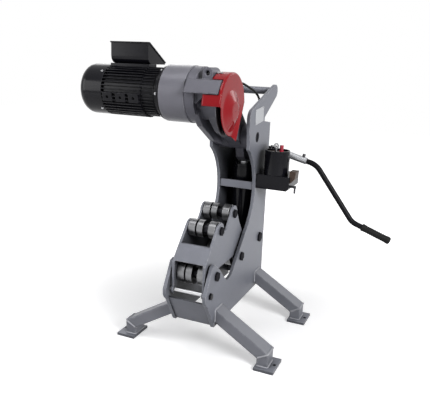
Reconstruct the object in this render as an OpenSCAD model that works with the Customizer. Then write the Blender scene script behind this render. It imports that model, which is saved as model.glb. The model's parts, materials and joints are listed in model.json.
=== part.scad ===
// Electric pipe cutter on a four-legged stand.
// A motor head swings down on a hydraulic lift and presses a driven cutting wheel on a pipe.
// The pipe lies along X on rollers. Y runs from the front to the column, Z is up.
// The origin is on the floor, midway between the four feet.

/* [Stand] */
// Thickness of each side plate
plate_t = 10; // [8:1:14]
// Clear width between the side plates
plate_gap = 110; // [108:1:120]
// Height of the side plates' bottom edge above the floor
plate_bottom = 95; // [85:1:105]
// Rear edge of the side plates
rear_y = 210; // [208:1:225]
// Top of the straight rear edge
column_top = 640; // [630:1:655]
// Radius of the open throat in the side plates
throat_r = 154; // [150:1:156]
// Height of the throat's centre
throat_z = 442; // [438:1:446]
// Carrying bar, front to back place
bar_y = 246; // [240:1:252]
// Carrying bar, height
bar_z = 737; // [731:1:743]
// Carrying bar diameter
bar_d = 24; // [20:1:28]

/* [Legs] */
// Distance between left and right bolt holes
hole_span = 480; // [460:2:540]
// Distance between front and rear bolt holes
hole_base = 332; // [320:2:336]
// Leg tube width, front to back
tube_w = 50; // [44:1:56]
// Leg tube height
tube_h = 32; // [28:1:36]
// Leg tube wall
tube_wall = 3; // [2:0.5:4]
// Height where the top of a leg meets its side plate
leg_root_z = 146; // [140:1:152]
// Height of the outer knee of a leg
knee_z = 48; // [44:1:54]
// Foot plate length, front to back
foot_l = 82; // [74:1:90]
// Foot plate width
foot_w = 58; // [54:1:62]
// Foot plate thickness
foot_t = 8; // [6:1:10]
// Foot bolt hole diameter
foot_hole_d = 11; // [9:1:13]

/* [Rollers] */
// Front to back place of the pipe's centre
pipe_y = -97; // [-99:1:-95]
// Half the distance between the two large-pipe axles
large_half = 95; // [93:1:97]
// Height of the large-pipe axles
large_z = 247; // [245:1:249]
// Diameter of the large-pipe rollers
large_d = 66; // [60:1:68]
// Diameter of the small-pipe rollers
small_d = 50; // [46:1:52]
// Diameter of the roller axles
axle_d = 20; // [16:1:22]
// Width of one roller ring
ring_w = 21; // [18:1:22]
// Diameter of the sleeve between the rings
sleeve_d = 32; // [30:1:36]

/* [Cradle] */
// Front to back place of the cradle's hinge rod
hinge_y = -232; // [-234:1:-230]
// Height of the cradle's hinge rod
hinge_z = 203; // [202:1:205]
// Diameter of the hinge rod
hinge_d = 12; // [10:1:13]
// Outside width of the cradle
cradle_w = 100; // [98:1:104]
// Thickness of the cradle's sheet
cradle_t = 6; // [5:0.5:7]

/* [Head] */
// Front to back place of the head's pivot
pivot_y = 89; // [87:1:91]
// Height of the head's pivot
pivot_z = 603; // [596:1:610]
// Diameter of the pivot pin
pivot_d = 32; // [28:1:36]
// Swing of the head from raised to fully down
head_swing = 58; // [45:1:60]
// Front to back place of the motor's axis
motor_y = -68; // [-72:1:-66]
// Height of the motor's axis above the pivot
motor_rise = 127; // [125:1:131]
// Diameter of the reducer drum
drum_d = 162; // [156:1:166]
// Length of the reducer drum
drum_l = 79; // [75:1:84]
// Tooth module of the last gear pair
gear_module = 1.5; // [1.5:0.05:1.6]
// Teeth on the pinion
pinion_teeth = 14; // [14:1:15]
// Teeth on the spindle gear
gear_teeth = 21; // [20:1:22]
// Direction from the motor's axis to the spindle
spindle_dir = 252; // [248:1:256]

/* [Cutter] */
// Diameter of the cutting wheel
wheel_d = 172; // [160:1:174]
// Thickness of the cutting wheel
wheel_t = 6; // [5:0.5:7]
// Angle of the wheel's edge on each side
edge_slope = 6; // [5:0.5:7]
// Diameter of the spindle
spindle_d = 30; // [26:1:32]
// Room between the wheel and the guard's rim
guard_gap = 4; // [4:0.5:6]
// Guard sheet thickness
guard_t = 2.5; // [2:0.5:3]

/* [Motor] */
// Diameter over the motor's fins
motor_d = 150; // [146:1:152]
// Length of the finned body
motor_l = 130; // [120:1:140]
// Length of the fan cowl
cowl_l = 85; // [80:1:95]
// Length of the drive end shield
bell_l = 63; // [58:1:70]
// Motor shaft diameter
shaft_d = 24; // [20:1:26]
// Length of the terminal box
box_l = 125; // [115:1:125]
// Height of the terminal box at its front
box_h = 58; // [52:1:64]
// Depth of the terminal box, front to back
box_depth = 101; // [96:1:108]

/* [Lift] */
// Lever arm of the lift on the head, and base radius of its cam
lift_arm = 75; // [74:0.5:76]
// Depth of the cam below the pivot when the head is raised
cam_drop = 88; // [86:0.5:90]
// Outside diameter of the lift cylinder
cylinder_d = 76; // [70:1:78]
// Bore of the lift cylinder
cylinder_bore = 60; // [56:1:62]
// Diameter of the lift rod
rod_d = 40; // [36:1:42]
// Height of the lift cylinder's lower pin
lift_pin_z = 263; // [258:1:268]
// Diameter of the lift cylinder's lower pin
lift_pin_d = 24; // [20:1:26]

/* [Pump] */
// Length of the pump base from the side plate
base_l = 107; // [102:1:114]
// Front face of the pump base
base_y = 98; // [94:1:102]
// Bottom of the pump base
base_z = 443; // [438:1:448]
// Height of the pump base
base_h = 44; // [40:1:48]
// Diameter of the oil reservoir
reservoir_d = 78; // [74:1:80]
// Height of the oil reservoir
reservoir_h = 76; // [70:1:78]
// Plane of the pump lever, front to back
lever_y = 190; // [188:1:191]
// Distance from lever pivot to plunger
plunger_arm = 28; // [27:0.5:29]
// Full stroke angle of the pump lever
lever_swing = 32; // [24:1:34]
// Plunger diameter
plunger_d = 14; // [12:1:15]
// Slope of the lever at rest
lever_slope = 14; // [12:1:16]
// Diameter of the lever socket
socket_d = 22; // [21:1:24]
// Diameter of the lever bar
lever_d = 17; // [15:1:18]
// Length of the lever's sloping part
lever_l = 177; // [160:1:190]
// Length of the grip
grip_l = 95; // [86:1:110]

/* [Fits] */
// Running clearance on a radius
running = 0.05; // [0.03:0.01:0.1]
// Gap between pieces that pass each other
pass_gap = 0.5; // [0.4:0.1:0.8]

/* [Hidden] */
$fn = 64;
plate_in = plate_gap / 2;
plate_out = plate_in + plate_t;
reach = 2 * plate_out;
// throat and front of the side plates
throat_y = pipe_y + 37;
front_y = -197;
vee_z = 210;
pin_sink = 3;
pin_head_h = 6;
horn_y = pipe_y - 116;
horn_z = 286;
shoulder_y = 44;
shoulder_z = pivot_z + 59;
shoulder_r = 30;
notch_y = 150;
tip_r = 21;
nose_r = 30;
// legs
foot_x = hole_span / 2 - 20;
foot_y = hole_base / 2;
tube_x = foot_x - 9;
knee_x = tube_x + tube_h / 2;
leg_fall = (leg_root_z - knee_z) / (knee_x - plate_out);
leg_depth = tube_h * sqrt(1 + leg_fall * leg_fall);
// roller axles
large_front_y = pipe_y - large_half;
large_back_y = pipe_y + large_half;
small_front_y = pipe_y - 40;
small_front_z = 361;
small_back_y = pipe_y + 59;
small_back_z = 389;
ring_edge = 41;
ring_gap = 5;
// cradle
cradle_out = cradle_w / 2;
cradle_in = cradle_out - cradle_t;
lip_top_y = small_front_y - 17;
lip_top_z = 378;
bend_y = hinge_y - 6;
bend_z = 284;
foot_edge_z = hinge_z - 11;
window_half = ring_edge + 2;
// reducer, spindle and motor, placed along X
motor_z = pivot_z + motor_rise;
flange_x0 = -73;
flange_x1 = -44;
nose_x = 24;
rotor_d = motor_d - 66;
air_gap = 1;
drum_x0 = flange_x0 - drum_l;
bell_x0 = drum_x0 - bell_l;
body_x0 = bell_x0 - motor_l;
cowl_x0 = body_x0 - cowl_l;
flange_d = drum_d - 3;
centre_distance = gear_module * (pinion_teeth + gear_teeth) / 2;
spindle_y = motor_y + centre_distance * cos(spindle_dir);
spindle_z = motor_z + centre_distance * sin(spindle_dir);
gear_x0 = -68;
gear_x1 = -54;
wheel_x0 = nose_x + 3;
wheel_x1 = wheel_x0 + wheel_t;
nut_h = 8;
guard_x = wheel_x1 + nut_h + 1.5;
guard_x0 = -9;
rim_start = 4;
cut_room = 3;
lip_y = 60;
lip_z = -84;
lip_tip_y = 8;
lip_tip_z = -97;
bulge_y = -13;
bulge_z = -12;
bulge_d = 114;
bulge_top = 50;
bulge_h = 14;
guard_in = wheel_d / 2 + guard_gap;
guard_out = guard_in + guard_t;
guard_face = guard_x + guard_t;
hub_d = 76;
arm_x = plate_in - pass_gap;
beam_y0 = motor_y - 62;
beam_y1 = motor_y - 4;
beam_z0 = motor_z + 10;
beam_z1 = motor_z + 46;
beam_x1 = nose_x + 11;
beam_top = beam_y0 - 12;
beam_foot = beam_y0 - 36;
boss_x = -13;
boss_z = motor_z + 63;
boss_d = 30;
bearing_d = 62;
lug_x0 = 5;
lug_dir = 108;
lug_w = 18;
// terminal box
box_x0 = bell_x0 - box_l;
box_y0 = motor_y - 27;
box_z0 = motor_z + motor_d / 2 + 3;
box_z1 = box_z0 + box_h;
box_round = 22;
// cooling fins
fin_count = 44;
fin_root_r = motor_d / 2 - 10;
gland_x = bell_x0 - 40;
gland_y = box_y0 + box_depth - 16;
box_back = 4;
gland_d = 12;
lead_d = 7;
// box inside the column, and the lead's route to it
junction_x = plate_in - 32;
junction_y = pivot_y + 66;
junction_z = pivot_z - 45;
lead_end = [junction_x + 14, junction_y + 27, junction_z + 84];
lead_route = [[gland_x, gland_y, box_z0 - 14], [gland_x + 2, gland_y + 10, box_z0 - 36],
    [gland_x + 24, gland_y + 24, 750], [gland_x + 70, 34, 744], [-125, 36, 750], [-65, 38, 762], [-15, 42, 768],
    [16, 58, 764], [28, 90, 752], [33, 130, 738], [36, 162, 720], [37, 178, 694],
    [lead_end[0], lead_end[1], lead_end[2] + 24],
    lead_end];
// lift
lift_y = pivot_y + lift_arm;
cam_half = 14;
rod_top = pivot_z - cam_drop;
gland_top = rod_top - 7;
cylinder_top = gland_top - 9;
cylinder_foot = lift_pin_z + 37;
stroke = lift_arm * head_swing * PI / 180;
// pump
base_x1 = plate_out + base_l;
base_y1 = rear_y - 2;
base_top = base_z + base_h;
reservoir_x = plate_out + 53;
reservoir_y = base_y + reservoir_d / 2;
reservoir_top = base_top + reservoir_h;
fulcrum_x = plate_out + 20;
fulcrum_z = base_top + 70;
fulcrum_d = 10;
lug_half = 7.5;
nose_d = 12;
half_swing = lever_swing / 2;
plunger_x = fulcrum_x + plunger_arm * cos(half_swing);
plunger_top = fulcrum_z - plunger_arm * sin(half_swing) - nose_d / 2 - pass_gap;
plunger_rise = 2 * plunger_arm * sin(half_swing);
barrel_d = 26;
barrel_top = base_top + 26;
valve_y = base_y + 20;
valve_z = base_z + 13;
valve_d = 8;
oil_pipe_d = 14;
oil_pipe_z = base_z + base_h / 2;
// lever: two bends, with straight lengths before and after
bend_one = -39;
bend_two = 33;
bend_one_r = 58;
bend_two_r = 46;
bar_start = 62;
lever_lead = 68;
lever_tail = 20;
bend_d = lever_d + 0.2;

// round bar along X at a place in Y and Z
module bar_x(d, x0, x1, y, z) {
    translate([x0, y, z]) rotate([0, 90, 0]) cylinder(d = d, h = x1 - x0);
}

// round bar along Y at a place in X and Z
module bar_y(d, y0, y1, x, z) {
    translate([x, y0, z]) rotate([-90, 0, 0]) cylinder(d = d, h = y1 - y0);
}

// round bar along Z at a place in X and Y
module bar_up(d, z0, z1, x, y) {
    translate([x, y, z0]) cylinder(d = d, h = z1 - z0);
}

// tube along X with a through bore
module tube_x(d, bore, x0, x1, y, z) {
    difference() {
        bar_x(d, x0, x1, y, z);
        bar_x(bore, x0 - 1, x1 + 1, y, z);
    }
}

// outline in Y and Z made thick along X
module slab_x(x0, x1) {
    translate([x0, 0, 0]) rotate([90, 0, 90]) linear_extrude(x1 - x0) children();
}

// outline in X and Z made thick along Y
module slab_y(y0, y1) {
    translate([0, y1, 0]) rotate([90, 0, 0]) linear_extrude(y1 - y0) children();
}

// block between two corners
module block(a, b) {
    translate(a) cube(b - a);
}

// round outline at a place
module disc(d, y, z) {
    translate([y, z]) circle(d = d);
}

// outline of a side plate without its holes
module plate_outline() {
    difference() {
        union() {
            polygon([[front_y, plate_bottom], [rear_y, plate_bottom], [rear_y, column_top],
                [notch_y, column_top + 8], [notch_y, column_top + 20],
                [bar_y + tip_r * 0.6, bar_z - tip_r * 0.8], [bar_y - tip_r * 0.3, bar_z + tip_r * 0.954],
                [shoulder_y - shoulder_r * 0.3, shoulder_z + shoulder_r * 0.954],
                [shoulder_y - shoulder_r, shoulder_z], [shoulder_y - shoulder_r, column_top],
                [pipe_y + 120, throat_z + 142], [pipe_y + 120, vee_z + 100], [pipe_y + 22, vee_z + 2],
                [pipe_y + 6, vee_z - 3], [pipe_y - 14, vee_z - 2], [pipe_y - 24, vee_z + 3],
                [horn_y + 42, horn_z - 25], [horn_y + 8, horn_z],
                [horn_y - 8, horn_z - 4], [hinge_y - nose_r, hinge_z + 8], [hinge_y - nose_r, hinge_z]]);
            disc(2 * tip_r, bar_y, bar_z);
            disc(2 * shoulder_r, shoulder_y, shoulder_z);
            disc(2 * nose_r, hinge_y, hinge_z);
        }
        disc(2 * throat_r, throat_y, throat_z);
    }
}

module side_plate(side) {
    color([0.47, 0.48, 0.5])
    mirror([side < 0 ? 1 : 0, 0, 0])
    difference() {
        slab_x(plate_in, plate_out) plate_outline();
        bar_x(pivot_d, 0, reach, pivot_y, pivot_z);
        bar_x(lift_pin_d, 0, reach, lift_y, lift_pin_z);
        bar_x(axle_d, 0, reach, large_front_y, large_z);
        bar_x(axle_d, 0, reach, large_back_y, large_z);
        bar_x(hinge_d, 0, reach, hinge_y, hinge_z);
        if (side > 0) bar_x(oil_pipe_d, 0, reach, lift_y, oil_pipe_z);
    }
}

module side_plate_right() {
    side_plate(1);
}

module side_plate_left() {
    side_plate(-1);
}

// bars between the plates: one behind the throat, one low at the rear
module cross_ties() {
    tie_y = throat_y + throat_r + 2;
    color([0.45, 0.46, 0.48])
    union() {
        block([-plate_in, tie_y, throat_z - 6], [plate_in, tie_y + 10, throat_z + 18]);
        block([-plate_in, rear_y - 14, plate_bottom + 15], [plate_in, rear_y - 4, plate_bottom + 105]);
    }
}

// sloping plate that closes the front of the base
module front_tie() {
    slope_y = (hinge_y - nose_r - front_y) / (hinge_z - plate_bottom);
    low_z = plate_bottom + 4;
    high_z = hinge_z - 22;
    low_y = front_y + slope_y * (low_z - plate_bottom);
    high_y = front_y + slope_y * (high_z - plate_bottom);
    color([0.33, 0.34, 0.37])
    slab_x(-plate_in, plate_in)
    polygon([[low_y + 4, low_z], [low_y + 13, low_z], [high_y + 13, high_z], [high_y + 4, high_z]]);
}

// sheet that closes the column's back, up to the junction box
module back_plate() {
    color([0.1, 0.1, 0.11])
    block([-plate_in, rear_y - 4, plate_bottom + 105], [plate_in, rear_y - 1, junction_z - 6]);
}

// side view of a leg, thinned by the wall where it is hollow
module leg_outline(wall) {
    drop = wall * leg_depth / tube_h;
    low_x = tube_x - tube_h / 2 + wall;
    high_x = knee_x - wall;
    top_z = leg_root_z - drop;
    under_z = leg_root_z - leg_depth + drop;
    polygon([[plate_out, top_z], [high_x, top_z - leg_fall * (high_x - plate_out)], [high_x, foot_t],
        [low_x, foot_t], [low_x, under_z - leg_fall * (low_x - plate_out)], [plate_out, under_z]]);
}

module legs() {
    color([0.5, 0.51, 0.53])
    for (side = [0, 1], end = [-1, 1])
    mirror([side, 0, 0])
    translate([0, end * foot_y, 0])
    difference() {
        slab_y(-tube_w / 2, tube_w / 2) leg_outline(0);
        slab_y(tube_wall - tube_w / 2, tube_w / 2 - tube_wall) leg_outline(tube_wall);
    }
}

module foot_plates() {
    color([0.5, 0.51, 0.53])
    for (side = [-1, 1], end = [-1, 1])
    translate([side * foot_x, end * foot_y, 0])
    difference() {
        block([-foot_w / 2, -foot_l / 2, 0], [foot_w / 2, foot_l / 2, foot_t]);
        bar_up(foot_hole_d, -1, foot_t + 1, side * (hole_span / 2 - foot_x), 0);
    }
}

module carrying_bar() {
    color([0.4, 0.41, 0.44])
    bar_x(bar_d, -plate_in, plate_in, bar_y, bar_z);
}

module pivot_pin() {
    color([0.55, 0.56, 0.58])
    bar_x(pivot_d, pin_sink - plate_out, plate_out - pin_sink, pivot_y, pivot_z);
}

// pin across the machine with a six-sided head at either end
module headed_pin(d, head_d, out, y, z) {
    union() {
        bar_x(d, -out, out, y, z);
        for (x = [-out - pin_head_h, out])
        translate([x, y, z]) rotate([0, 90, 0]) cylinder(d = head_d, h = pin_head_h, $fn = 6);
    }
}

module large_axles() {
    color([0.6, 0.61, 0.63])
    for (y = [large_front_y, large_back_y]) headed_pin(axle_d, axle_d + 8, plate_out, y, large_z);
}

module hinge_rod() {
    color([0.75, 0.76, 0.78])
    headed_pin(hinge_d, hinge_d + 8, plate_out, hinge_y, hinge_z);
}

// blank plate and the four rivets on it
module name_plate() {
    thick = 1.2;
    color([0.78, 0.79, 0.8])
    translate([plate_out, pivot_y + 8, pivot_z + 66]) rotate([6, 0, 0])
    union() {
        difference() {
            block([0, -37, -23], [thick, 37, 23]);
            for (across = [-33, 33], up = [-19, 19]) bar_x(4, -1, thick + 1, across, up);
        }
        for (across = [-33, 33], up = [-19, 19]) bar_x(4, 0, 2 * thick, across, up);
    }
}

module lift_cylinder() {
    color([0.09, 0.09, 0.1])
    difference() {
        union() {
            bar_up(cylinder_d, cylinder_foot, cylinder_top, 0, lift_y);
            block([-20, lift_y - 22, lift_pin_z - 22], [20, lift_y + 22, cylinder_foot]);
        }
        bar_up(cylinder_bore, cylinder_foot + 12, cylinder_top + 1, 0, lift_y);
        bar_x(lift_pin_d, -reach, reach, lift_y, lift_pin_z);
        bar_x(oil_pipe_d, 0, reach, lift_y, oil_pipe_z);
    }
}

// end cap that guides the rod
module lift_gland() {
    color([0.2, 0.2, 0.22])
    difference() {
        union() {
            bar_up(cylinder_d, cylinder_top, gland_top, 0, lift_y);
            bar_up(cylinder_bore, cylinder_top - 16, cylinder_top, 0, lift_y);
        }
        bar_up(rod_d + 2 * running, cylinder_top - 17, gland_top + 1, 0, lift_y);
    }
}

module lift_pin() {
    color([0.55, 0.56, 0.58])
    headed_pin(lift_pin_d, lift_pin_d + 9, plate_out, lift_y, lift_pin_z);
}

// short pipe from the pump through the plate into the cylinder
module oil_pipe() {
    color([0.3, 0.3, 0.32])
    tube_x(oil_pipe_d, oil_pipe_d - 6, cylinder_bore / 2 + 3, plate_out, lift_y, oil_pipe_z);
}

module pump_base() {
    color([0.08, 0.08, 0.09])
    difference() {
        slab_y(base_y, base_y1)
        polygon([[plate_out, base_z], [base_x1 - 8, base_z], [base_x1, base_z + 8], [base_x1, base_top],
            [plate_out, base_top]]);
        bar_up(plunger_d + 2 * running, base_z + 8, base_top + 1, plunger_x, lever_y);
        bar_x(valve_d + 2 * running, base_x1 - 26, base_x1 + 1, valve_y, valve_z);
    }
}

// cup with a sunk top
module reservoir() {
    color([0.07, 0.08, 0.08])
    difference() {
        bar_up(reservoir_d, base_top, reservoir_top, reservoir_x, reservoir_y);
        bar_up(reservoir_d - 8, base_top + 4, reservoir_top + 1, reservoir_x, reservoir_y);
    }
}

module reservoir_cap() {
    color([0.22, 0.13, 0.13])
    difference() {
        bar_up(reservoir_d - 8, reservoir_top - 11, reservoir_top - 7, reservoir_x, reservoir_y);
        bar_up(8, reservoir_top - 12, reservoir_top, reservoir_x + 14, reservoir_y - 6);
    }
}

module filler_plug() {
    color([0.6, 0.06, 0.1])
    union() {
        bar_up(8, reservoir_top - 11, reservoir_top - 7, reservoir_x + 14, reservoir_y - 6);
        bar_up(12, reservoir_top - 7, reservoir_top + 17, reservoir_x + 14, reservoir_y - 6);
    }
}

// steel eye on a stem
module breather() {
    eye_z = reservoir_top + 14;
    color([0.78, 0.79, 0.8])
    difference() {
        union() {
            bar_up(7, reservoir_top - 7, eye_z - 5, reservoir_x - 4, reservoir_y - 4);
            bar_y(16, reservoir_y - 7, reservoir_y - 1, reservoir_x - 4, eye_z);
        }
        bar_y(8, reservoir_y - 8, reservoir_y, reservoir_x - 4, eye_z);
    }
}

module pump_barrel() {
    color([0.12, 0.12, 0.13])
    difference() {
        bar_up(barrel_d, base_top, barrel_top, plunger_x, lever_y);
        bar_up(plunger_d + 2 * running, base_top - 1, barrel_top + 1, plunger_x, lever_y);
    }
}

// block beside the base that holds the pump's valves
module valve_block() {
    color([0.42, 0.32, 0.26])
    slab_y(base_y + 8, base_y + 46)
    polygon([[base_x1, base_top - 20], [base_x1 + 14, base_top - 6], [base_x1 + 18, base_top + 18],
        [base_x1 - 3, base_top + 18], [base_x1 - 3, base_top], [base_x1, base_top]]);
}

module release_valve() {
    grip_x = base_x1 + 14;
    color([0.1, 0.1, 0.11])
    union() {
        bar_x(valve_d, base_x1 - 24, base_x1 + 18, valve_y, valve_z);
        bar_up(6, valve_z - 20, valve_z, grip_x, valve_y);
    }
}

// two cheeks that carry the lever
module fulcrum_fork() {
    color([0.12, 0.12, 0.13])
    for (side = [-1, 1])
    difference() {
        block([fulcrum_x - 10, lever_y + side * (lug_half + pass_gap + 2.5) - 2.5, base_top],
            [fulcrum_x + 10, lever_y + side * (lug_half + pass_gap + 2.5) + 2.5, fulcrum_z + 10]);
        bar_y(fulcrum_d, lever_y - 30, lever_y + 30, fulcrum_x, fulcrum_z);
    }
}

module fulcrum_pin() {
    color([0.7, 0.71, 0.72])
    bar_y(fulcrum_d, lever_y - lug_half - 7, lever_y + lug_half + 7, fulcrum_x, fulcrum_z);
}

// things on the lever are drawn along its own slope, from the fulcrum
module on_lever() {
    translate([fulcrum_x, lever_y, fulcrum_z]) rotate([0, lever_slope, 0]) children();
}

module lever_socket() {
    nose_dir = half_swing;
    color([0.8, 0.81, 0.82])
    difference() {
        union() {
            on_lever() bar_y(20, -lug_half, lug_half, 0, 0);
            on_lever() block([0, -lug_half, -3], [44, lug_half, 9]);
            on_lever() bar_x(socket_d, 40, 118, 0, 0);
            bar_y(nose_d, lever_y - 6, lever_y + 6, plunger_x, fulcrum_z - plunger_arm * sin(nose_dir));
        }
        bar_y(fulcrum_d + 2 * running, lever_y - 30, lever_y + 30, fulcrum_x, fulcrum_z);
        on_lever() bar_x(lever_d, bar_start, 119, 0, 0);
        on_lever() bar_up(6, 0, 20, 104, 0);
    }
}

module socket_screw() {
    color([0.1, 0.1, 0.11])
    on_lever() union() {
        bar_up(6, lever_d / 2, socket_d / 2, 104, 0);
        bar_up(10, socket_d / 2, socket_d / 2 + 8, 104, 0);
    }
}

// bend of a round bar: turns by an angle from the +X heading, left when positive
module bend(d, r, turn) {
    side = turn < 0 ? -1 : 1;
    translate([0, 0, side * r]) rotate([90, 0, 0]) rotate([0, 0, side < 0 ? 90 + turn : -90])
    rotate_extrude(angle = abs(turn)) translate([r, 0]) circle(d = d);
}

// after a bend of radius r and angle turn, go to its end and face along it
module past_bend(r, turn) {
    side = turn < 0 ? -1 : 1;
    translate([r * sin(abs(turn)), 0, side * r * (1 - cos(turn))]) rotate([0, -turn, 0]) children();
}

// carries its children to the start of the grip
module to_grip() {
    on_lever() translate([bar_start + lever_lead, 0, 0]) past_bend(bend_one_r, bend_one)
    translate([lever_l, 0, 0]) past_bend(bend_two_r, bend_two) translate([lever_tail, 0, 0]) children();
}

// the bends are a hair thicker than the straight lengths that lap into them
module lever_bar() {
    lap = 0.5;
    color([0.07, 0.07, 0.08])
    union() {
        on_lever() bar_x(lever_d, bar_start, bar_start + lever_lead + lap, 0, 0);
        on_lever() translate([bar_start + lever_lead, 0, 0]) bend(bend_d, bend_one_r, bend_one);
        on_lever() translate([bar_start + lever_lead, 0, 0]) past_bend(bend_one_r, bend_one)
        union() {
            bar_x(lever_d, -lap, lever_l + lap, 0, 0);
            translate([lever_l, 0, 0]) bend(bend_d, bend_two_r, bend_two);
        }
        to_grip() bar_x(lever_d, -lever_tail - lap, grip_l - 8, 0, 0);
    }
}

module lever_grip() {
    color([0.05, 0.05, 0.05])
    to_grip() difference() {
        rotate([0, 90, 0]) rotate_extrude()
        polygon([[0, 0], [10.5, 0], [12, 2], [12, grip_l - 5], [10, grip_l - 1], [8, grip_l], [0, grip_l]]);
        bar_x(lever_d, -1, grip_l - 8, 0, 0);
    }
}

module pump_plunger() {
    color([0.75, 0.76, 0.78])
    bar_up(plunger_d, base_z + 12, plunger_top, plunger_x, lever_y);
}

// outline of one cheek of the small-pipe cradle
module cheek_outline() {
    difference() {
        union() {
            polygon([[lip_top_y, lip_top_z], [small_front_y + 4, lip_top_z + 7], [small_front_y + 26, 354],
                [pipe_y + 4, 354], [small_back_y - 20, small_back_z + 8], [small_back_y + 22, small_back_z + 4],
                [small_back_y + 46, 352], [small_back_y + 72, 320], [pipe_y + 76, 254], [large_front_y + 52, 252],
                [large_front_y + 22, large_z + 14], [large_front_y - 16, large_z + 6], [hinge_y + 14, hinge_z],
                [hinge_y, foot_edge_z], [hinge_y - 6, foot_edge_z], [bend_y, bend_z]]);
            disc(46, small_front_y, small_front_z);
            disc(48, small_back_y, small_back_z);
            disc(24, hinge_y + 1, hinge_z);
        }
        disc(axle_d + 8, large_front_y, large_z);
        polygon([[large_front_y - 14, large_z], [large_front_y + 40, large_z + 4], [large_front_y + 40, hinge_z - 30],
            [large_front_y - 14, hinge_z - 30]]);
    }
}

// front skin of the cradle, following the front edge of its cheeks
module skin_outline() {
    run = [bend_y - lip_top_y, bend_z - lip_top_z] / norm([bend_y - lip_top_y, bend_z - lip_top_z]);
    inward = [-run[1], run[0]] * cradle_t;
    polygon([[lip_top_y, lip_top_z], [bend_y, bend_z], [bend_y, foot_edge_z], [bend_y + cradle_t, foot_edge_z],
        [bend_y + cradle_t, bend_z - 3], [lip_top_y, lip_top_z] + inward]);
}

module cradle() {
    color([0.52, 0.53, 0.55])
    difference() {
        union() {
            for (side = [-1, 1])
            slab_x(side < 0 ? -cradle_out : cradle_in, side < 0 ? -cradle_in : cradle_out) cheek_outline();
            slab_x(-cradle_in, cradle_in) skin_outline();
            slab_x(-cradle_in, cradle_in) disc(22, hinge_y, hinge_z);
        }
        block([-window_half, hinge_y - 20, small_front_z - 33], [window_half, pipe_y, small_front_z + 59]);
        block([-window_half, hinge_y - 20, hinge_z + 4], [window_half, hinge_y + 5, bend_z + 4]);
        block([-window_half, hinge_y - 20, foot_edge_z - 1], [window_half, hinge_y + 20, hinge_z + 12]);
        bar_x(hinge_d + 2 * running, -reach, reach, hinge_y, hinge_z);
        bar_x(axle_d, -reach, reach, small_front_y, small_front_z);
        bar_x(axle_d, -reach, reach, small_back_y, small_back_z);
    }
}

// axles held in the cradle's cheeks
module small_axles() {
    color([0.6, 0.61, 0.63])
    union() {
        headed_pin(axle_d, axle_d + 6, cradle_out, small_front_y, small_front_z);
        headed_pin(axle_d, axle_d + 6, cradle_out, small_back_y, small_back_z);
    }
}

// three rings on a sleeve, with the wide gap under the cut
module roller(d, y, z) {
    color([0.8, 0.81, 0.83])
    difference() {
        union() {
            bar_x(sleeve_d, -ring_edge - 2, ring_edge + 2, y, z);
            bar_x(d, -ring_edge, ring_w - ring_edge, y, z);
            bar_x(d, ring_w - ring_edge + ring_gap, 2 * ring_w - ring_edge + ring_gap - 3, y, z);
            bar_x(d, ring_edge - ring_w, ring_edge, y, z);
        }
        bar_x(axle_d + 2 * running, -reach, reach, y, z);
    }
}

module roller_large_front() {
    roller(large_d, large_front_y, large_z);
}

module roller_large_back() {
    roller(large_d, large_back_y, large_z);
}

module roller_small_front() {
    roller(small_d, small_front_y, small_front_z);
}

module roller_small_back() {
    roller(small_d, small_back_y, small_back_z);
}

// outline of the arm from the reducer flange to the pivot
module arm_outline() {
    polygon([[motor_y - 60, motor_z - 52], [motor_y - 26, motor_z - 85], [pivot_y - 91, pivot_z - 10],
        [pivot_y - 18, pivot_z - 33], [pivot_y + 33, pivot_z + 18], [pivot_y - 22, pivot_z + 74],
        [motor_y + 70, motor_z + 36], [motor_y + 20, motor_z + 76]]);
}

// outline of the middle web, between the pivot and the spindle's nose
module web_outline() {
    polygon([[spindle_y - 20, spindle_z - 37], [spindle_y + 30, spindle_z - 78], [pivot_y - 60, pivot_z - 6],
        [pivot_y - 12, pivot_z - 36], [pivot_y + 36, pivot_z + 12], [pivot_y - 30, pivot_z + 70],
        [spindle_y + 60, spindle_z + 30], [spindle_y + 10, spindle_z + 41]]);
}

// beam beside the guard; past the spindle's nose only the part outside the guard's rim goes on
module beam() {
    difference() {
        slab_x(flange_x0 + 6, beam_x1)
        polygon([[beam_top, beam_z1], [beam_foot, beam_z0], [beam_y1, beam_z0], [beam_y1, beam_z1]]);
        bar_x(2 * guard_in + 1, nose_x, beam_x1 + 1, spindle_y, spindle_z);
    }
}

// rib that carries the beam on the flange
module beam_rib() {
    rib_t = 10;
    slab_y(beam_y0 - 6, beam_y0 - 6 + rib_t)
    polygon([[flange_x1 - 2, beam_z0 + 2], [flange_x1 + 32, beam_z0 + 2], [flange_x1 + 32, beam_z0 - 3],
        [flange_x1 - 2, beam_z0 - 34]]);
}

module head_casting() {
    color([0.42, 0.43, 0.46])
    difference() {
        union() {
            bar_x(flange_d, flange_x0, flange_x1, motor_y, motor_z);
            slab_x(-arm_x, flange_x1 + 8) arm_outline();
            slab_x(-20, nose_x) web_outline();
            bar_x(84, flange_x1, nose_x, spindle_y, spindle_z);
            bar_x(hub_d, -arm_x, arm_x, pivot_y, pivot_z);
            beam();
            beam_rib();
            bar_y(boss_d, beam_y0 + 4, beam_y1, boss_x, boss_z);
            block([boss_x - 15, beam_y0 + 4, beam_z1 - 2], [boss_x + 15, beam_y1, boss_z]);
            guard_lug();
        }
        bar_x(pivot_d + 2 * running, -reach, reach, pivot_y, pivot_z);
        bar_y(14, beam_y0 - 1, beam_y1 + 1, boss_x, boss_z);
        bar_x(gear_room(pinion_teeth), flange_x0 - 1, gear_x1 + 3, motor_y, motor_z);
        bar_x(gear_room(gear_teeth), flange_x0 - 1, gear_x1 + 3, spindle_y, spindle_z);
        bar_x(bearing_d, flange_x1 - 4, nose_x + 1, spindle_y, spindle_z);
        bar_x(spindle_d + 4, gear_x1, flange_x1, spindle_y, spindle_z);
        guard_holes(6);
    }
}

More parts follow.
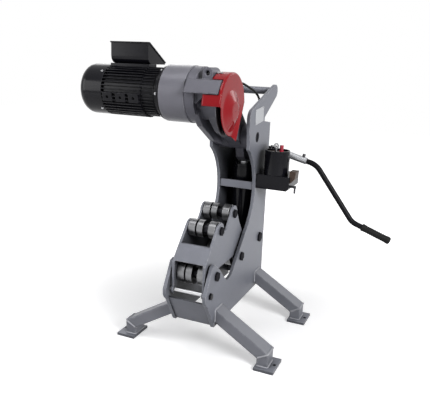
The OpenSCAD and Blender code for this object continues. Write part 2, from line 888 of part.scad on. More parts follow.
// room round a gear of so many teeth
function gear_room(teeth) = gear_module * (teeth + 2) + 4;

// angle of an involute point, by its distance from the middle
function involute(base, r) = sqrt(r * r / base / base - 1) * 180 / PI - acos(base / r);

// one gear: every tooth has involute flanks thinned by the backlash
module gear_outline(teeth, backlash) {
    pitch_r = gear_module * teeth / 2;
    base_r = pitch_r * cos(20);
    tip_r = pitch_r + 0.8 * gear_module;
    root_r = pitch_r - 1.15 * gear_module;
    half = 90 / teeth - backlash / pitch_r * 90 / PI + involute(base_r, pitch_r);
    flank = [for (i = [0 : 4]) base_r + (tip_r - base_r) * i / 4];
    union() {
        circle(r = root_r);
        for (k = [0 : teeth - 1]) rotate(k * 360 / teeth)
        polygon(concat([[0, 0], root_r * 0.99 * [cos(half), -sin(half)]],
            [for (r = flank) r * [cos(half - involute(base_r, r)), -sin(half - involute(base_r, r))]],
            [for (i = [4 : -1 : 0]) let (r = flank[i])
                r * [cos(half - involute(base_r, r)), sin(half - involute(base_r, r))]],
            [root_r * 0.99 * [cos(half), sin(half)]]));
    }
}

// cam with an involute face that keeps the flat rod top square under it
module cam_outline() {
    face = [for (a = [0 : 2 : head_swing]) cam_point(a)];
    last = cam_point(head_swing);
    polygon(concat(face, [last, [last[0] - 14, last[1] + 40], [-8, 30], [36, 28], [lift_arm + 14, 8 - cam_drop],
        [lift_arm + 14, pass_gap - cam_drop]]));
}

// point of the cam face, after the head has turned by an angle
function cam_point(a) = let (h = lift_arm * a * PI / 180 - cam_drop + pass_gap)
    [lift_arm * cos(a) + h * sin(a), h * cos(a) - lift_arm * sin(a)];

module lift_cam() {
    color([0.4, 0.41, 0.44])
    difference() {
        slab_x(-cam_half, cam_half) translate([pivot_y, pivot_z]) cam_outline();
        bar_x(hub_d, -reach, reach, pivot_y, pivot_z);
    }
}

module reducer_drum() {
    color([0.45, 0.46, 0.49])
    difference() {
        bar_x(drum_d, drum_x0, flange_x0, motor_y, motor_z);
        bar_x(drum_d - 22, drum_x0 + 10, flange_x0 + 1, motor_y, motor_z);
        bar_x(shaft_d + 20, drum_x0 - 1, drum_x0 + 11, motor_y, motor_z);
    }
}

// drive end shield of the motor
module motor_bell() {
    color([0.06, 0.06, 0.07])
    difference() {
        union() {
            translate([bell_x0, motor_y, motor_z]) rotate([0, 90, 0]) rotate_extrude()
            polygon([[0, 0], [fin_root_r, 0], [fin_root_r, bell_l - 26], [drum_d / 2 - 13, bell_l - 20],
                [drum_d / 2 - 13, bell_l - 9], [drum_d / 2 - 3, bell_l - 9],
                [drum_d / 2 - 3, bell_l], [0, bell_l]]);
            slab_x(bell_x0 + 3, bell_x0 + bell_l - 22) fins(motor_d / 2 - 4);
        }
        bar_x(motor_d - 34, bell_x0 - 1, bell_x0 + 40, motor_y, motor_z);
        bar_x(shaft_d + 2 * running, bell_x0, drum_x0 + 1, motor_y, motor_z);
    }
}

// outline of the cooling fins that stand out along the motor, out to a radius
module fins(r) {
    fin_t = 2.4;
    translate([motor_y, motor_z])
    for (k = [0 : fin_count - 1]) rotate((k + 0.5) * 360 / fin_count)
    translate([fin_root_r - 4, -fin_t / 2]) square([r - fin_root_r + 4, fin_t]);
}

// places along the motor and sides of the pads for feet
module at_pads() {
    for (x = [body_x0 + 5 : 44 : bell_x0 - 37], side = [0, 1])
    translate([x, motor_y, motor_z]) rotate([side ? 166 : 14, 0, 0]) children();
}

// finned body with a seat for the terminal box and pads that feet could bolt to
module motor_body() {
    color([0.06, 0.06, 0.07])
    difference() {
        union() {
            slab_x(body_x0, bell_x0) union() {
                translate([motor_y, motor_z]) circle(r = fin_root_r + 2);
                fins(motor_d / 2);
                translate([motor_y - 22, motor_z + 40]) square([44, box_z0 - motor_z - 40]);
            }
            at_pads() block([0, -motor_d / 2 - 1, -13], [32, -fin_root_r + 6, 13]);
        }
        bar_x(motor_d - 30, body_x0 - 1, bell_x0 + 1, motor_y, motor_z);
        at_pads() bar_y(9, -motor_d / 2 - 2, -motor_d / 2 + 6, 16, 0);
    }
}

module stator() {
    color([0.45, 0.3, 0.18])
    tube_x(motor_d - 30, rotor_d + 2 * air_gap, body_x0 + 20, bell_x0 - 20, motor_y, motor_z);
}

// pressed cowl with a rounded end and air slots
module fan_cowl() {
    r = motor_d / 2;
    round_r = 28;
    wall = 2;
    color([0.07, 0.07, 0.08])
    difference() {
        translate([body_x0, motor_y, motor_z]) rotate([0, -90, 0]) rotate_extrude()
        polygon(concat([[r - wall, 0], [r, 0]],
            [for (t = [0 : 15 : 90]) [r - round_r * (1 - cos(t)), cowl_l - round_r * (1 - sin(t))]],
            [[0, cowl_l], [0, cowl_l - wall]],
            [for (t = [90 : -15 : 0])
                [r - round_r + (round_r - wall) * cos(t), cowl_l - round_r + (round_r - wall) * sin(t)]]));
        for (k = [0 : 11]) translate([0, motor_y, motor_z]) rotate([k * 30, 0, 0])
        block([cowl_x0 - 2, -3, 16], [cowl_x0 + 3, 3, r - 32]);
    }
}

// cowl screws, end shield bolts and guard screws
module head_screws() {
    color([0.2, 0.2, 0.22])
    union() {
        for (k = [0 : 3]) translate([0, motor_y, motor_z]) rotate([45 + k * 90, 0, 0])
        bar_up(7, motor_d / 2, motor_d / 2 + 2.5, body_x0 - 9, 0);
        for (k = [0 : 5]) translate([0, motor_y, motor_z]) rotate([30 + k * 60, 0, 0])
        translate([bell_x0 + bell_l - 9, 0, drum_d / 2 - 8]) rotate([0, -90, 0]) cylinder(d = 9, h = 5, $fn = 6);
        guard_holes(6);
        for (x = [lug_x0 + 5, nose_x - 5])
        translate([0, spindle_y, spindle_z]) rotate([lug_dir - 90, 0, 0])
        bar_up(8, guard_out, guard_out + 3.5, x, 0);
    }
}

// section of the terminal box: upright front, round lower front edge, sloping top
module box_outline() {
    round_edge = [for (a = [180 : 9 : 270])
        [box_y0 + box_round * (1 + cos(a)), box_z0 + box_round * (1 + sin(a))]];
    polygon(concat(round_edge, [[box_y0 + box_depth, box_z0], [box_y0 + box_depth, box_z0 + box_back],
        [box_y0 + 6, box_z1], [box_y0, box_z1]]));
}

module terminal_box() {
    wall = 5;
    fall = (box_h - box_back) / (box_depth - 6);
    back_z = box_z0 + box_back + fall * 10;
    color([0.07, 0.07, 0.08])
    difference() {
        slab_x(box_x0, bell_x0) box_outline();
        slab_x(box_x0 + wall, bell_x0 - wall)
        polygon([[box_y0 + wall + 1, box_z0 + box_round], [box_y0 + wall + 1, box_z1 + 1],
            [box_y0 + box_depth - 10, back_z + 1], [box_y0 + box_depth - 10, box_z0 + wall],
            [box_y0 + box_round, box_z0 + wall]]);
        bar_up(gland_d, box_z0 - 1, box_z0 + wall + 1, gland_x, gland_y);
    }
}

// lid lying on the box's sloping top
module terminal_lid() {
    color([0.06, 0.06, 0.07])
    slab_x(box_x0 - 2, bell_x0 + 2)
    polygon([[box_y0 - 2, box_z1], [box_y0 + 6, box_z1], [box_y0 + box_depth, box_z0 + box_back],
        [box_y0 + box_depth + 2, box_z0 + box_back], [box_y0 + box_depth + 2, box_z0 + box_back + 3],
        [box_y0 + 6, box_z1 + 4],
        [box_y0 - 2, box_z1 + 4]]);
}

// cable gland under the back of the terminal box
module lead_gland() {
    color([0.05, 0.05, 0.05])
    difference() {
        union() {
            bar_up(gland_d, box_z0, box_z0 + 8, gland_x, gland_y);
            bar_up(gland_d + 6, box_z0 - 14, box_z0, gland_x, gland_y);
        }
        bar_up(lead_d, box_z0 - 15, box_z0 + 9, gland_x, gland_y);
    }
}

// box inside the column that the lead goes into
module junction_box() {
    color([0.1, 0.1, 0.11])
    union() {
        block([junction_x + 3, junction_y, junction_z], [plate_in, junction_y + 50, junction_z + 70]);
        block([junction_x, junction_y - 1.5, junction_z - 1.5], [junction_x + 3, junction_y + 51.5, junction_z + 71.5]);
    }
}

// upper gland for the lead, lower one for the supply
module junction_glands() {
    color([0.05, 0.05, 0.05])
    difference() {
        union() {
            bar_up(gland_d + 4, junction_z + 70, lead_end[2], lead_end[0], lead_end[1]);
            bar_up(gland_d + 4, junction_z - 14, junction_z, lead_end[0], lead_end[1]);
        }
        bar_up(lead_d, junction_z - 15, junction_z - 2, lead_end[0], lead_end[1]);
    }
}

// smooth curve through the route's points
function spline(p, i, t) = let (a = p[max(i - 1, 0)], b = p[i], c = p[i + 1], d = p[min(i + 2, len(p) - 1)])
    (2 * b + (c - a) * t + (2 * a - 5 * b + 4 * c - d) * t * t + (3 * b - a - 3 * c + d) * t * t * t) / 2;

// direction of the curve at a point of its path
function heading(path, i) = i == 0 || i == len(path) - 1 ? [0, 0, -1] :
    (path[i + 1] - path[i - 1]) / norm(path[i + 1] - path[i - 1]);

// lead from the terminal box to the column, a round tube swept along its route
module motor_lead() {
    sides = 10;
    steps = 2;
    path = concat([for (i = [0 : len(lead_route) - 2], k = [0 : steps - 1]) spline(lead_route, i, k / steps)],
        [lead_end]);
    last = len(path) - 1;
    points = [for (i = [0 : last])
        let (along = heading(path, i), side = cross(along, [1, -1, 0]), u = side / norm(side), v = cross(along, u))
        for (k = [0 : sides - 1])
        path[i] + lead_d / 2 * (cos(k * 360 / sides) * u + sin(k * 360 / sides) * v)];
    walls = [for (i = [0 : last - 1], k = [0 : sides - 1])
        let (a = i * sides + k, b = i * sides + (k + 1) % sides)
        each [[a, b, a + sides], [b, b + sides, a + sides]]];
    ends = [[for (k = [sides - 1 : -1 : 0]) k], [for (k = [0 : sides - 1]) last * sides + k]];
    color([0.04, 0.04, 0.04])
    polyhedron(points, concat(walls, ends));
}

// outline of the guard's face, open at the lower front where the wheel cuts, straight at the lower back
module face_outline(inset) {
    spread = 3 * guard_out;
    difference() {
        circle(r = guard_out - inset);
        difference() {
            polygon([[0, 0], spread * [cos(180 - inset), sin(180 - inset)], spread * [cos(225), sin(225)],
                [0, -spread]]);
            circle(r = wheel_d / 2 - cut_room - inset);
        }
        polygon([[lip_y - inset, inset], [spread, inset], [spread, -spread], [-inset, -spread],
            [-inset, lip_z + inset]]);
    }
}

// lip along the straight edge of the guard's face, wide at the rim and pointed below
module guard_lip() {
    lap = 1;
    slab_x(guard_x, guard_face) translate([spindle_y, spindle_z])
    polygon([[lip_y - lap, 0], [guard_out - lap, 8], [lip_tip_y, lip_tip_z], [-lap, lip_z]]);
}

// bulge over the wheel nut, as a solid cone or as the room inside it, cut off at the face's edge
module guard_bulge(x0, x1, base_d, top_d, inset) {
    intersection() {
        translate([x0, spindle_y + bulge_y, spindle_z + bulge_z]) rotate([0, 90, 0])
        cylinder(d1 = base_d, d2 = top_d, h = x1 - x0);
        slab_x(x0 - 1, x1 + 1) translate([spindle_y, spindle_z]) face_outline(inset);
    }
}

// seat for the guard's rim on top of the beam
module guard_lug() {
    intersection() {
        bar_x(2 * guard_in, lug_x0, nose_x, spindle_y, spindle_z);
        translate([0, spindle_y, spindle_z]) rotate([lug_dir - 90, 0, 0])
        block([lug_x0, -lug_w / 2, guard_in - 30], [nose_x, lug_w / 2, guard_out]);
    }
}

// two holes, or screws, square to the guard's rim
module guard_holes(d) {
    for (x = [lug_x0 + 5, nose_x - 5])
    translate([0, spindle_y, spindle_z]) rotate([lug_dir - 90, 0, 0]) bar_up(d, guard_in - 16, guard_out, x, 0);
}

// pressed cover over the wheel: a rim, a face with a bulge over the nut, and a lip at the lower back
module guard() {
    color([0.8, 0.1, 0.12])
    difference() {
        union() {
            translate([guard_x0, spindle_y, spindle_z]) rotate([90, 0, 90])
            rotate([0, 0, rim_start]) rotate_extrude(angle = 178 - rim_start)
            translate([guard_in, 0]) square([guard_t, guard_x + 2 - guard_x0]);
            slab_x(guard_x, guard_face) translate([spindle_y, spindle_z]) face_outline(0.3);
            guard_lip();
            guard_bulge(guard_face - 1, guard_face + bulge_h, bulge_d, bulge_top, 0.3);
        }
        guard_bulge(guard_x - 1, guard_face + bulge_h - guard_t, bulge_d - 2 * guard_t,
            bulge_top - guard_t, guard_t);
        block([guard_x0 - 1, beam_y0 - 90, beam_z0 - 2], [beam_x1 + 2, beam_y0 + 24, beam_z1 + 3]);
        block([guard_x0 - 1, beam_y0 - 1, beam_z1 - 2], [boss_x + 18, beam_y1 + 4, boss_z + 20]);
        guard_holes(6);
    }
}

module spindle_bearings() {
    color([0.62, 0.63, 0.65])
    for (x = [flange_x1 - 4, nose_x - 18])
    tube_x(bearing_d, spindle_d + 2 * running, x, x + 16, spindle_y, spindle_z);
}

module spindle() {
    mesh_turn = spindle_dir - 180 + 180 / gear_teeth;
    color([0.6, 0.61, 0.63])
    union() {
        bar_x(spindle_d - 6, gear_x1 - 2, gear_x1 + 2, spindle_y, spindle_z);
        bar_x(spindle_d, gear_x1 + 1, wheel_x0, spindle_y, spindle_z);
        bar_x(54, nose_x + 0.5, wheel_x0, spindle_y, spindle_z);
        bar_x(20, wheel_x0, wheel_x1 + nut_h, spindle_y, spindle_z);
        slab_x(gear_x0, gear_x1) translate([spindle_y, spindle_z]) rotate(mesh_turn) gear_outline(gear_teeth, 0.3);
    }
}

module cutting_wheel() {
    rim_t = 0.8;
    slope_l = (wheel_t - rim_t) / 2 / tan(edge_slope);
    color([0.12, 0.12, 0.13])
    difference() {
        translate([wheel_x0, spindle_y, spindle_z]) rotate([0, 90, 0]) rotate_extrude()
        polygon([[0, 0], [wheel_d / 2 - slope_l, 0], [wheel_d / 2, (wheel_t - rim_t) / 2],
            [wheel_d / 2, (wheel_t + rim_t) / 2], [wheel_d / 2 - slope_l, wheel_t], [0, wheel_t]]);
        bar_x(20, wheel_x0 - 1, wheel_x1 + 1, spindle_y, spindle_z);
    }
}

module wheel_nut() {
    color([0.3, 0.31, 0.33])
    difference() {
        translate([wheel_x1, spindle_y, spindle_z]) rotate([0, 90, 0]) cylinder(d = 38, h = nut_h, $fn = 6);
        bar_x(20, wheel_x1 - 1, wheel_x1 + nut_h + 1, spindle_y, spindle_z);
    }
}

// slow side of the reducer, with the pinion that drives the spindle
module reducer_output() {
    color([0.58, 0.59, 0.61])
    union() {
        bar_x(drum_d - 60, drum_x0 + 34, drum_x0 + 60, motor_y, motor_z);
        bar_x(13, drum_x0 + 60, gear_x0, motor_y, motor_z);
        slab_x(gear_x0, gear_x1) translate([motor_y, motor_z]) rotate(spindle_dir) gear_outline(pinion_teeth, 0.3);
    }
}

module rotor() {
    color([0.5, 0.5, 0.52])
    union() {
        bar_x(shaft_d, cowl_x0 + 14, drum_x0 + 30, motor_y, motor_z);
        bar_x(rotor_d, body_x0 + 22, bell_x0 - 22, motor_y, motor_z);
    }
}

module cooling_fan() {
    color([0.1, 0.1, 0.1])
    difference() {
        union() {
            bar_x(44, cowl_x0 + 20, cowl_x0 + 50, motor_y, motor_z);
            for (k = [0 : 7]) translate([0, motor_y, motor_z]) rotate([k * 45, 0, 0])
            block([cowl_x0 + 20, -1.5, 10], [cowl_x0 + 50, 1.5, motor_d / 2 - 20]);
        }
        bar_x(shaft_d, cowl_x0, cowl_x0 + 60, motor_y, motor_z);
    }
}

module lift_rod() {
    piston_z = cylinder_foot + 18;
    color([0.8, 0.81, 0.83])
    union() {
        bar_up(rod_d, piston_z, rod_top, 0, lift_y);
        bar_up(cylinder_bore - 2 * running, piston_z, piston_z + 20, 0, lift_y);
    }
}

side_plate_right();
side_plate_left();
cross_ties();
front_tie();
back_plate();
legs();
foot_plates();
carrying_bar();
pivot_pin();
large_axles();
hinge_rod();
name_plate();
lift_cylinder();
lift_gland();
lift_pin();
oil_pipe();
pump_base();
reservoir();
reservoir_cap();
filler_plug();
breather();
pump_barrel();
valve_block();
fulcrum_fork();
fulcrum_pin();
release_valve();
lever_socket();
socket_screw();
lever_bar();
lever_grip();
pump_plunger();
cradle();
small_axles();
roller_large_front();
roller_large_back();
roller_small_front();
roller_small_back();
head_casting();
lift_cam();
reducer_drum();
motor_bell();
motor_body();
stator();
fan_cowl();
head_screws();
terminal_box();
terminal_lid();
lead_gland();
motor_lead();
junction_box();
junction_glands();
guard();
spindle_bearings();
spindle();
cutting_wheel();
wheel_nut();
reducer_output();
rotor();
cooling_fan();
lift_rod();
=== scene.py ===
import json
import math

import bpy
import numpy as np
from mathutils import Matrix


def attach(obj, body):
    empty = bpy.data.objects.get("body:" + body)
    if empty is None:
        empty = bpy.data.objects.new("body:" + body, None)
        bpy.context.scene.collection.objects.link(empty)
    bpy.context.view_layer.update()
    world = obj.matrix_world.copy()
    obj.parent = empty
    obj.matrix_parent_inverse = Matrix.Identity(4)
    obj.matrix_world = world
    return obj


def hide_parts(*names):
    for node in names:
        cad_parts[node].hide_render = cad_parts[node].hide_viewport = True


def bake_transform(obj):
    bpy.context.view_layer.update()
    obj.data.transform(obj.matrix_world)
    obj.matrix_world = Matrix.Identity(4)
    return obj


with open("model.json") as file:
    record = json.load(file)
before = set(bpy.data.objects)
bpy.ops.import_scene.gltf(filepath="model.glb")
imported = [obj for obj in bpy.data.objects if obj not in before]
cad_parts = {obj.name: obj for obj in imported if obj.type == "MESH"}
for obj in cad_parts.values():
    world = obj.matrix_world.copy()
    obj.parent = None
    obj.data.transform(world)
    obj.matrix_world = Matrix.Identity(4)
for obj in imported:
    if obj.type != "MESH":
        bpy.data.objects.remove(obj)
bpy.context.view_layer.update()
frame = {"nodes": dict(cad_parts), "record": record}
nodes = frame["nodes"]
scene = bpy.context.scene
scene.view_settings.view_transform = "Standard"
print("frame loaded:", len(nodes), "nodes")

# camera: place in metres, angles in degrees, focal length in pixels of an image 430 wide
cameraSet = {"place": (0.611, -1.513, 0.825), "turn": 22.96, "dip": 14.13, "roll": 2.31,
             "focal": 552, "wide": 430, "sensor": 36.0, "sight": 20}


# puts a camera or a lamp in the scene, turned so that its own axes lie along the three given
def setUp(thing, axes, place):
    pose = np.eye(4)
    pose[:3, :3] = np.array(axes).T
    pose[:3, 3] = place
    thing.matrix_world = Matrix(pose.tolist())
    scene.collection.objects.link(thing)


def addCamera(c):
    a, e, r = (math.radians(c[k]) for k in ("turn", "dip", "roll"))
    right = np.array([math.cos(a), math.sin(a), 0])
    back = np.array([math.sin(a) * math.cos(e), -math.cos(a) * math.cos(e), math.sin(e)])
    up = np.cross(back, right)
    across = right * math.cos(r) + up * math.sin(r)
    upright = up * math.cos(r) - right * math.sin(r)
    data = bpy.data.cameras.new("camera")
    data.sensor_width = c["sensor"]
    data.lens = c["focal"] / c["wide"] * c["sensor"]
    data.clip_end = c["sight"]
    cam = bpy.data.objects.new("camera", data)
    setUp(cam, [across, upright, back], c["place"])
    scene.camera = cam


addCamera(cameraSet)
print("camera set")


# grid of points, u rows by v columns, as points and quads; a closed way joins its last line to its first
def gridPart(points, closeU=False, closeV=False, capU=False):
    rows, cols = points.shape[:2]
    i = np.arange(rows if closeU else rows - 1)[:, None]
    j = np.arange(cols if closeV else cols - 1)[None, :]
    i2, j2 = (i + 1) % rows, (j + 1) % cols
    quads = np.stack([i * cols + j, i * cols + j2, i2 * cols + j2, i2 * cols + j], -1).reshape(-1, 4)
    caps = [np.arange(cols)[::-1], np.arange((rows - 1) * cols, rows * cols)] if capU else []
    return points.reshape(-1, 3), quads, caps


# one smooth mesh from any number of grids
def gridMesh(name, *grids):
    points = np.vstack([grid[0] for grid in grids])
    starts = np.cumsum([0] + [len(grid[0]) for grid in grids])
    faces = []
    for (_, quads, caps), start in zip(grids, starts):
        faces += (quads + start).tolist() + [(cap + start).tolist() for cap in caps]
    mesh = bpy.data.meshes.new(name)
    mesh.from_pydata(points.tolist(), [], faces)
    mesh.polygons.foreach_set("use_smooth", [True] * len(faces))
    mesh.update()
    return mesh


def addPiece(name, mesh, body=None):
    piece = bpy.data.objects.new(name, mesh)
    scene.collection.objects.link(piece)
    if body:
        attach(piece, body)
    return piece


def dress(piece, finish):
    piece.data.materials.clear()
    piece.data.materials.append(finishes[finish])


# smooth path through a few points: Catmull-Rom, each span cut into equal steps of its parameter
def smoothPath(points, steps):
    p = np.array(points, float)
    p = np.vstack([p[:1], p, p[-1:]])
    t = (np.arange(steps) / steps)[None, :, None]
    a, b, c, d = (p[k:len(p) - 3 + k, None, :] for k in range(4))
    bend, twist = 2 * a - 5 * b + 4 * c - d, 3 * b - a - 3 * c + d
    spans = 0.5 * (2 * b + (c - a) * t + bend * t**2 + twist * t**3)
    return np.vstack([spans.reshape(-1, 3), p[-1:]])


# tube: a circle of the given radius carried along a path, square to it at every point, with flat ends
def tubePart(path, radius, sides, lean=(1.0, -1.0, 0.0)):
    along = np.gradient(path, axis=0)
    along /= np.linalg.norm(along, axis=1)[:, None]
    u = np.cross(along, np.array(lean))
    u /= np.linalg.norm(u, axis=1)[:, None]
    v = np.cross(along, u)
    turn = np.linspace(0, 2 * np.pi, sides, endpoint=False)
    r = np.broadcast_to(np.asarray(radius, float), (len(path),))[:, None, None]
    ring = np.cos(turn)[None, :, None] * u[:, None, :] + np.sin(turn)[None, :, None] * v[:, None, :]
    return gridPart(path[:, None, :] + r * ring, closeV=True, capU=True)


# motor lead: the route of the CAD lead in metres, from the terminal box to the column
leadSet = {"diameter": 0.007, "sides": 16, "steps": 8,
           "bendStart": (0.037, 0.182, 0.672), "bendEnd": (0.012, 0.05, 0.77),
           "route": [(-0.255, -0.010, 0.794), (-0.253, 0, 0.772), (-0.231, 0.014, 0.750),
                     (-0.185, 0.034, 0.744), (-0.125, 0.036, 0.750), (-0.065, 0.038, 0.762),
                     (-0.015, 0.042, 0.768), (0.016, 0.058, 0.764), (0.028, 0.090, 0.752),
                     (0.033, 0.130, 0.738), (0.036, 0.162, 0.720), (0.037, 0.178, 0.694),
                     (0.037, 0.182, 0.666), (0.037, 0.182, 0.642)]}


# a smooth tube along the route, in place of the CAD lead
def addLead(p):
    path = smoothPath(p["route"], p["steps"])
    lead = addPiece("motorLead", gridMesh("motorLead", tubePart(path, p["diameter"] / 2, p["sides"])))
    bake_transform(lead)
    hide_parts("motor_lead")
    return lead, path


# strain relief: a sleeve on the lead's first stretch, thick at the gland, with a groove every few millimetres
reliefSet = {"length": 0.03, "collar": 0.0072, "wall": 0.0006, "taper": 0.8, "rings": 46, "sides": 20,
             "groove": 0.0009, "pitch": 0.0052, "groovesFrom": 0.004, "grooveLevel": 0.45}


def addRelief(name, path, body, p):
    run = np.concatenate([[0], np.cumsum(np.linalg.norm(np.diff(path, axis=0), axis=1))])
    s = np.linspace(0, p["length"], p["rings"])
    line = np.stack([np.interp(s, run, path[:, k]) for k in range(3)], 1)
    thin = leadSet["diameter"] / 2 + p["wall"]
    radius = thin + (p["collar"] - thin) * (1 - s / p["length"]) ** p["taper"]
    grooved = (np.sin(s * 2 * np.pi / p["pitch"]) > p["grooveLevel"]) & (s > p["groovesFrom"])
    return addPiece(name, gridMesh(name, tubePart(line, radius - p["groove"] * grooved, p["sides"])), body)


lead, leadPath = addLead(leadSet)
reliefs = [addRelief("leadReliefBox", leadPath, "head", reliefSet),
           addRelief("leadReliefColumn", leadPath[::-1], "frame", reliefSet)]
print("lead and its reliefs made")


# shader groups: shared effects with named inputs and outputs
def shaderGroup(name, inputs, outputs):
    group = bpy.data.node_groups.new(name, "ShaderNodeTree")
    for key, value in inputs.items():
        socket = group.interface.new_socket(key, in_out="INPUT", socket_type="NodeSocketFloat")
        socket.default_value = value
    for key, kind in outputs.items():
        group.interface.new_socket(key, in_out="OUTPUT", socket_type="NodeSocket" + kind)
    return group, group.nodes.new("NodeGroupInput"), group.nodes.new("NodeGroupOutput")


# a number or a colour is set on the socket, an output is linked to it
def feed(tree, socket, value):
    if isinstance(value, (int, float, tuple)):
        socket.default_value = value
    else:
        tree.links.new(value, socket)


def mathNode(tree, operation, a, b=None, clamp=False):
    node = tree.nodes.new("ShaderNodeMath")
    node.operation = operation
    node.use_clamp = clamp
    feed(tree, node.inputs[0], a)
    if b is not None:
        feed(tree, node.inputs[1], b)
    return node.outputs[0]


def mixColour(tree, factor, a, b):
    node = tree.nodes.new("ShaderNodeMix")
    node.data_type = "RGBA"
    for socket, value in zip((node.inputs[0], node.inputs[6], node.inputs[7]), (factor, a, b)):
        feed(tree, socket, value)
    return node.outputs[2]


def mixFloat(tree, factor, a, b):
    node = tree.nodes.new("ShaderNodeMix")
    for socket, value in zip((node.inputs[0], node.inputs[2], node.inputs[3]), (factor, a, b)):
        feed(tree, socket, value)
    return node.outputs[0]


def mapRange(tree, value, fromMin, fromMax, toMin, toMax):
    node = tree.nodes.new("ShaderNodeMapRange")
    node.interpolation_type = "SMOOTHSTEP"
    for key, number in (("From Min", fromMin), ("From Max", fromMax), ("To Min", toMin), ("To Max", toMax)):
        node.inputs[key].default_value = number
    tree.links.new(value, node.inputs["Value"])
    return node.outputs[0]


def noise(tree, coords, scale, detail, rough):
    node = tree.nodes.new("ShaderNodeTexNoise")
    for key, value in (("Vector", coords), ("Scale", scale), ("Detail", detail), ("Roughness", rough)):
        feed(tree, node.inputs[key], value)
    return node.outputs["Fac"]


def objectCoords(tree, stretch=None):
    coords = tree.nodes.new("ShaderNodeTexCoord")
    if not stretch:
        return coords.outputs["Object"]
    mapping = tree.nodes.new("ShaderNodeMapping")
    mapping.inputs["Scale"].default_value = stretch
    tree.links.new(coords.outputs["Object"], mapping.inputs["Vector"])
    return mapping.outputs["Vector"]


# edge wear: where a rounded normal leaves the flat one there is an edge, broken up by noise
edgeSet = {"samples": 6, "gain": 7.0, "scale": 60.0, "detail": 5.0, "rough": 0.7, "patchFrom": 0.42,
           "patchGain": 5.0}


def makeEdgeWear(p):
    inputs, outputs = {"Radius": 0.0015, "Amount": 0.5}, {"Mask": "Float", "Normal": "Vector"}
    tree, inp, out = shaderGroup("edgeWear", inputs, outputs)
    bevel = tree.nodes.new("ShaderNodeBevel")
    bevel.samples = p["samples"]
    tree.links.new(inp.outputs["Radius"], bevel.inputs["Radius"])
    flat = tree.nodes.new("ShaderNodeNewGeometry")
    dot = tree.nodes.new("ShaderNodeVectorMath")
    dot.operation = "DOT_PRODUCT"
    tree.links.new(bevel.outputs[0], dot.inputs[0])
    tree.links.new(flat.outputs["Normal"], dot.inputs[1])
    edge = mathNode(tree, "MULTIPLY", mathNode(tree, "SUBTRACT", 1.0, dot.outputs["Value"]), p["gain"], True)
    patch = noise(tree, objectCoords(tree), p["scale"], p["detail"], p["rough"])
    patch = mathNode(tree, "SUBTRACT", patch, p["patchFrom"])
    patch = mathNode(tree, "MULTIPLY", patch, p["patchGain"], True)
    mask = mathNode(tree, "MULTIPLY", mathNode(tree, "MULTIPLY", edge, patch), inp.outputs["Amount"], True)
    tree.links.new(mask, out.inputs["Mask"])
    tree.links.new(bevel.outputs[0], out.inputs["Normal"])
    return tree


# cast or sprayed surface: fine grain height and a slow mottle, each with its detail and roughness
grainSet = {"fine": (2.0, 0.5), "slow": (4.0, 0.6)}


def makeGrain(p):
    inputs, outputs = {"Scale": 400.0, "Mottle": 14.0}, {"Height": "Float", "Mottle": "Float"}
    tree, inp, out = shaderGroup("grain", inputs, outputs)
    coords = objectCoords(tree)
    tree.links.new(noise(tree, coords, inp.outputs["Scale"], *p["fine"]), out.inputs["Height"])
    tree.links.new(noise(tree, coords, inp.outputs["Mottle"], *p["slow"]), out.inputs["Mottle"])
    return tree


# dust lies where the surface looks up in its own frame
dustSet = {"upFrom": 0.2, "gain": 1.2, "scale": 35.0, "detail": 6.0, "rough": 0.7}


def makeDust(p):
    tree, inp, out = shaderGroup("dust", {"Amount": 0.3}, {"Mask": "Float"})
    coords = tree.nodes.new("ShaderNodeTexCoord")
    split = tree.nodes.new("ShaderNodeSeparateXYZ")
    tree.links.new(coords.outputs["Normal"], split.inputs[0])
    up = mathNode(tree, "SUBTRACT", split.outputs["Z"], p["upFrom"])
    up = mathNode(tree, "MULTIPLY", up, p["gain"], True)
    cloud = noise(tree, coords.outputs["Object"], p["scale"], p["detail"], p["rough"])
    mask = mathNode(tree, "MULTIPLY", mathNode(tree, "MULTIPLY", up, cloud), inp.outputs["Amount"], True)
    tree.links.new(mask, out.inputs["Mask"])
    return tree


# painted shade: colour darkened towards near black where other surfaces stand close, by how much of the
# surroundings a point sees
paintedShadeSet = {"samples": 12, "hidden": 0.3, "open": 0.8}


def makePaintedShade(p):
    tree, inp, out = shaderGroup("paintedShade", {"Reach": 0.08, "Amount": 0.6}, {"Mask": "Float"})
    near = tree.nodes.new("ShaderNodeAmbientOcclusion")
    near.samples = p["samples"]
    tree.links.new(inp.outputs["Reach"], near.inputs["Distance"])
    hidden = mapRange(tree, near.outputs["AO"], p["hidden"], p["open"], 1.0, 0.0)
    tree.links.new(mathNode(tree, "MULTIPLY", hidden, inp.outputs["Amount"], True), out.inputs["Mask"])
    return tree


# turning marks: noise drawn out round the part, so it changes only along the X axis
turningSet = {"stretch": (1.0, 0.02, 0.02), "detail": 2.0, "rough": 0.5}


def makeTurning(p):
    tree, inp, out = shaderGroup("turning", {"Fine": 900.0}, {"Height": "Float"})
    marks = noise(tree, objectCoords(tree, p["stretch"]), inp.outputs["Fine"], p["detail"], p["rough"])
    tree.links.new(marks, out.inputs["Height"])
    return tree


groups = {"edge": makeEdgeWear(edgeSet), "grain": makeGrain(grainSet), "dust": makeDust(dustSet),
          "paintedShade": makePaintedShade(paintedShadeSet), "turning": makeTurning(turningSet)}


def useGroup(tree, key, **values):
    node = tree.nodes.new("ShaderNodeGroup")
    node.node_tree = groups[key]
    for name, value in values.items():
        node.inputs[name].default_value = value
    return node


def startMaterial(name):
    material = bpy.data.materials.new(name)
    material.use_nodes = True
    tree = material.node_tree
    return material, tree, tree.nodes["Principled BSDF"]


# height of the bump on each kind of surface in metres, and how much dust dulls paint
bumpDepth = {"paint": 0.0004, "metal": 0.0002, "moulded": 0.0003}
dustDull = 0.4


